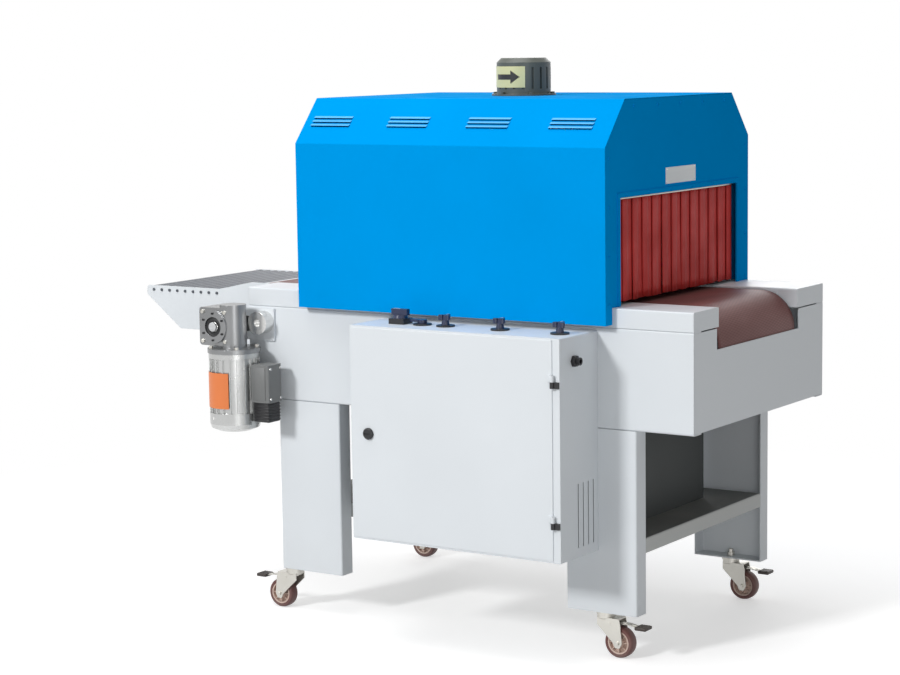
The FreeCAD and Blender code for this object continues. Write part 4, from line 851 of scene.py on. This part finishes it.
capacitor = {"half": 0.0258, "bottom": 0.0275, "top": 0.0815, "inset": (0.001, 0.0055), "round": 0.003,
             "ribs": 6, "rib": 0.003, "ribEnd": 0.006, "ribInset": (0.002, 0.0040), "ribProud": 0.0018,
             "ribRound": 0.0010}
lid = {"height": 0.133, "half": 0.045, "front": 0.031, "proud": 0.0016, "sunk": 0.001,
       "inset": (0.005, 0.011), "round": 0.0008}


def makeMotorTrim():
    axisX, y, base = motorAxis()
    boxHigh = boxOf("gear_motor")[1].x
    boxLow = boxHigh - motor["boxDeep"]
    boxY = y + motor["boxSide"]
    screws = bmesh.new()
    for turn in ringTurns(*motor["cowlScrews"]):
        normal = Vector((math.cos(turn), math.sin(turn), 0))
        place = Vector((axisX, y, base + motor["cowlHeight"])) + normal * motor["cowlRadius"]
        addScrew(screws, place, normal, motor["cowlScrew"])
    for z in motor["boxScrewHeights"]:
        for side in (-1, 1):
            place = Vector((boxHigh - motor["boxScrewSunk"], boxY + side * motor["boxScrewHalf"], base + z))
            addScrew(screws, place, xAxis, motor["boxScrew"])
    finishPiece(screws, "motor_screws", "bareBright", "frame")
    block = bmesh.new()
    near, far = boxY - capacitor["half"], boxY + capacitor["half"]
    bottom, top = base + capacitor["bottom"], base + capacitor["top"]
    inset, short = capacitor["inset"]
    addBlock(block, (boxLow + inset, near, bottom), (boxHigh - short, far, top), capacitor["round"])
    end, half = capacitor["ribEnd"], capacitor["rib"] / 2
    inset, short = capacitor["ribInset"]
    for i in range(capacitor["ribs"]):
        z = bottom + end + i * (top - bottom - 2 * end) / (capacitor["ribs"] - 1)
        addBlock(block, (boxLow + inset, near - capacitor["ribProud"], z - half),
                 (boxHigh - short, far, z + half), capacitor["ribRound"], segments=1)
    finishPiece(block, "capacitor_cover", "blackPlastic", "frame")
    cover = bmesh.new()
    z = base + lid["height"]
    front = boxY - lid["front"]
    inset, short = lid["inset"]
    addBlock(cover, (boxLow + inset, front - lid["proud"], z - lid["half"]),
             (boxHigh - short, front + lid["sunk"], z + lid["half"]), lid["round"])
    finishPiece(cover, "terminal_lid", "boxGrey", "frame")


makeGearTrim()
makeMotorTrim()
print("drive trimmed")


# Screws and small trim on the sheet metal and the controls

wallScrew = {"radius": 0.0036, "inset": 0.016, "wallFrom": 0.003, "heights": (0.900, 1.020, 1.140, 1.260),
             "topRow": (5, 0.125), "mouthRow": (6, 0.118), "mouthHeight": 1.1660, "mouthRadius": 0.0032}


def screwRow(bm, x, middle, row, z, normal, radius):
    count, pitch = row
    for i in range(count):
        addScrew(bm, Vector((x, middle + (i - (count - 1) / 2) * pitch, z)), normal, radius)


def makeWallScrews():
    for name, side in (("hood_end_infeed", 1), ("hood_end_outfeed", -1)):
        low, high = boxOf(name)
        middle = (low.y + high.y) / 2
        half = (high.y - low.y) / 2 - wallScrew["inset"]
        trimFace = high.x if side > 0 else low.x
        face = trimFace - wallScrew["wallFrom"] * side
        out = xAxis * side
        bm = bmesh.new()
        for z in wallScrew["heights"]:
            for sy in (-1, 1):
                addScrew(bm, Vector((face, middle + sy * half, z)), out, wallScrew["radius"])
        screwRow(bm, face, middle, wallScrew["topRow"], high.z - wallScrew["inset"], out,
                 wallScrew["radius"])
        screwRow(bm, trimFace, middle, wallScrew["mouthRow"], wallScrew["mouthHeight"], out,
                 wallScrew["mouthRadius"])
        finishPiece(bm, name + "_screws", "hoodBlue", "frame")


fanBolts = {"ring": (6, 15), "radius": 0.0795, "flange": 0.005, "size": (0.010, 0.005)}


def makeFanBolts():
    base = boxOf("fan_motor")[0].z + fanBolts["flange"]
    centre = middleOf("fan_motor")
    radius = fanBolts["radius"]
    bm = bmesh.new()
    for turn in ringTurns(*fanBolts["ring"]):
        place = Vector((centre.x + radius * math.cos(turn), centre.y + radius * math.sin(turn), base))
        addHexBolt(bm, place, zAxis, *fanBolts["size"])
    finishPiece(bm, "fan_bolts", "fanGrey", "frame")


gland = {"across": 0.027, "length": 0.0102, "taper": 0.94, "fromEnd": 0.0149, "behindDoor": 0.0793,
         "height": 0.770, "edge": 0.0008}


def makeGlandNut():
    x = boxOf("cabinet_fittings")[1].x - gland["fromEnd"]
    y = boxOf("cabinet_door")[0].y + gland["behindDoor"]
    radius = gland["across"] / math.sqrt(3)
    bm = bmesh.new()
    bmesh.ops.create_cone(bm, cap_ends=True, segments=6, radius1=radius, radius2=radius * gland["taper"],
                          depth=gland["length"], matrix=turnedTo(Vector((x, y, gland["height"])), xAxis))
    bevelEdges(bm, edgesOf(bm.verts), gland["edge"])
    finishPiece(bm, "gland_nut", "blackPlastic", "frame")


grommet = {"hole": 0.020, "place": (0.0475, 0.700), "web": 0.005, "webRound": 0.001, "high": 0.0022,
           "brim": 0.0028, "brimRound": 0.0013, "brimEdge": 0.0008, "gap": 0.0001, "depth": 0.0030}


def makeGrommet():  # closes the wiring hole behind the mounting plate
    wall = boxOf("electrics")[1].y
    x, z = grommet["place"]
    hole, gap, high, depth = (grommet[key] for key in ("hole", "gap", "high", "depth"))
    web, brim = hole - grommet["web"], hole + grommet["brim"]
    bm = bmesh.new()
    addTurned(bm, [(0.0, 0.0), (web, 0.0), (web + grommet["webRound"], high),
                   (brim - grommet["brimRound"], high), (brim, grommet["brimEdge"]), (brim, gap),
                   (hole - gap, gap), (hole - gap, -depth), (0.0, -depth)],
              Vector((x, wall, z)), -yAxis, steps=32)
    finishPiece(bm, "wiring_grommet", "blackPlastic", "frame")


mark = {"half": 0.0011, "sunk": 0.0002, "proud": 0.0003, "knob": (0.016, 0.003), "switch": 0.003}


def makePointers():
    half = mark["half"]
    for name in knobs:
        low, high = boxOf(name)
        x = middleOf(name).x
        near, far = mark["knob"]
        bm = bmesh.new()
        addBlock(bm, (x - half, low.y + near, high.z - mark["sunk"]),
                 (x + half, high.y - far, high.z + mark["proud"]))
        finishPiece(bm, name + "_mark", "labelWhite", name)
    low, high = boxOf("main_switch")
    centre = middleOf("main_switch")
    bm = bmesh.new()
    addBlock(bm, (low.x + mark["switch"], centre.y - half, high.z - mark["sunk"]),
             (centre.x, centre.y + half, high.z + mark["proud"]))
    finishPiece(bm, "main_switch_mark", "labelWhite", "main_switch")


makeWallScrews()
makeFanBolts()
makeGlandNut()
makeGrommet()
makePointers()
print("fasteners placed")


# Floor, light and camera

view = {"place": (3.4409, -5.2260, 1.5509), "aim": (0.02, 0.0, 0.745), "lens": 92.0, "roll": -0.8}
# Each lamp has a place, a target, a size and a power
studio = {"ambient": 0.32, "floorHalf": 30.0, "floorGlow": 0.48, "floorTone": 0.55, "floorSeen": 0.75,
          "fade": (1.3, 2.6),
          "lamps": {"key": ((-2.2, -7.6, 4.9), (0, 0, 0.7), 1.3, 440.0),
                    "top": ((-0.4, -0.6, 5.2), (0, 0, 0.9), 3.4, 112.0),
                    "fill": ((3.9, -4.2, 0.9), (0.2, 0, 0.5), 2.0, 38.0),
                    "back": ((-2.4, 6.2, 3.0), (0, 0, 0.7), 4.0, 120.0)}}


def seenDirectly(tree):  # 1 for what the camera, a pane or bright metal shows
    rays = wire(tree, "LightPath").outputs
    clear = math2(tree, "MAXIMUM", rays["Is Camera Ray"], rays["Is Transmission Ray"])
    return math2(tree, "MAXIMUM", clear, rays["Is Glossy Ray"])


def makeFloor():
    bm = bmesh.new()
    bmesh.ops.create_grid(bm, x_segments=1, y_segments=1, size=studio["floorHalf"])
    mesh = bpy.data.meshes.new("floor")
    bm.to_mesh(mesh)
    bm.free()
    floor = bpy.data.objects.new("floor", mesh)
    bpy.context.collection.objects.link(floor)
    material = bpy.data.materials.new("floorPale")
    material.use_nodes = True
    tree = material.node_tree
    tree.nodes.clear()
    plain, seen = (wire(tree, "BsdfDiffuse", {"Color": (tone, tone, tone, 1)}).outputs[0]
                   for tone in (studio["floorTone"], studio["floorSeen"]))
    glow = wire(tree, "Emission", {"Color": (1, 1, 1, 1), "Strength": studio["floorGlow"]}).outputs[0]
    lit = wire(tree, "AddShader", {0: seen, 1: glow}).outputs[0]
    white = wire(tree, "Emission", {"Color": (1, 1, 1, 1)}).outputs[0]
    reach = wire(tree, "VectorMath", {0: objectPlace(tree)}, operation="LENGTH").outputs["Value"]
    fade = stretchTo(tree, reach, *studio["fade"])
    shown = wire(tree, "MixShader", {0: fade, 1: lit, 2: white}).outputs[0]
    result = wire(tree, "MixShader", {0: seenDirectly(tree), 1: plain, 2: shown}).outputs[0]
    wire(tree, "OutputMaterial", {"Surface": result})
    mesh.materials.append(material)


def makeWorld():
    world = bpy.data.worlds.new("studio")
    bpy.context.scene.world = world
    world.use_nodes = True
    tree = world.node_tree
    tree.nodes.clear()
    level = mixValue(tree, seenDirectly(tree), studio["ambient"], 1.0)
    sky = wire(tree, "Background", {"Color": (1.0, 1.0, 1.0, 1), "Strength": level})
    wire(tree, "OutputWorld", {"Surface": sky.outputs[0]})


def aimedAt(place, target):
    return (Vector(target) - Vector(place)).to_track_quat("-Z", "Y")


def makeLamp(name, place, target, size, power):
    data = bpy.data.lights.new(name, "AREA")
    data.energy = power
    data.size = size
    lamp = bpy.data.objects.new(name, data)
    lamp.location = place
    lamp.rotation_euler = aimedAt(place, target).to_euler()
    bpy.context.collection.objects.link(lamp)


def makeCamera():
    data = bpy.data.cameras.new("camera")
    data.lens = view["lens"]
    camera = bpy.data.objects.new("camera", data)
    aimed = aimedAt(view["place"], view["aim"]).to_matrix().to_4x4()
    roll = Matrix.Rotation(math.radians(view["roll"]), 4, "Z")
    camera.matrix_world = Matrix.Translation(view["place"]) @ aimed @ roll
    bpy.context.collection.objects.link(camera)
    bpy.context.scene.camera = camera


makeFloor()
makeWorld()
for name, settings in studio["lamps"].items():
    makeLamp(name + "Lamp", *settings)
makeCamera()
bpy.context.scene.view_settings.view_transform = "Standard"
print("studio ready")
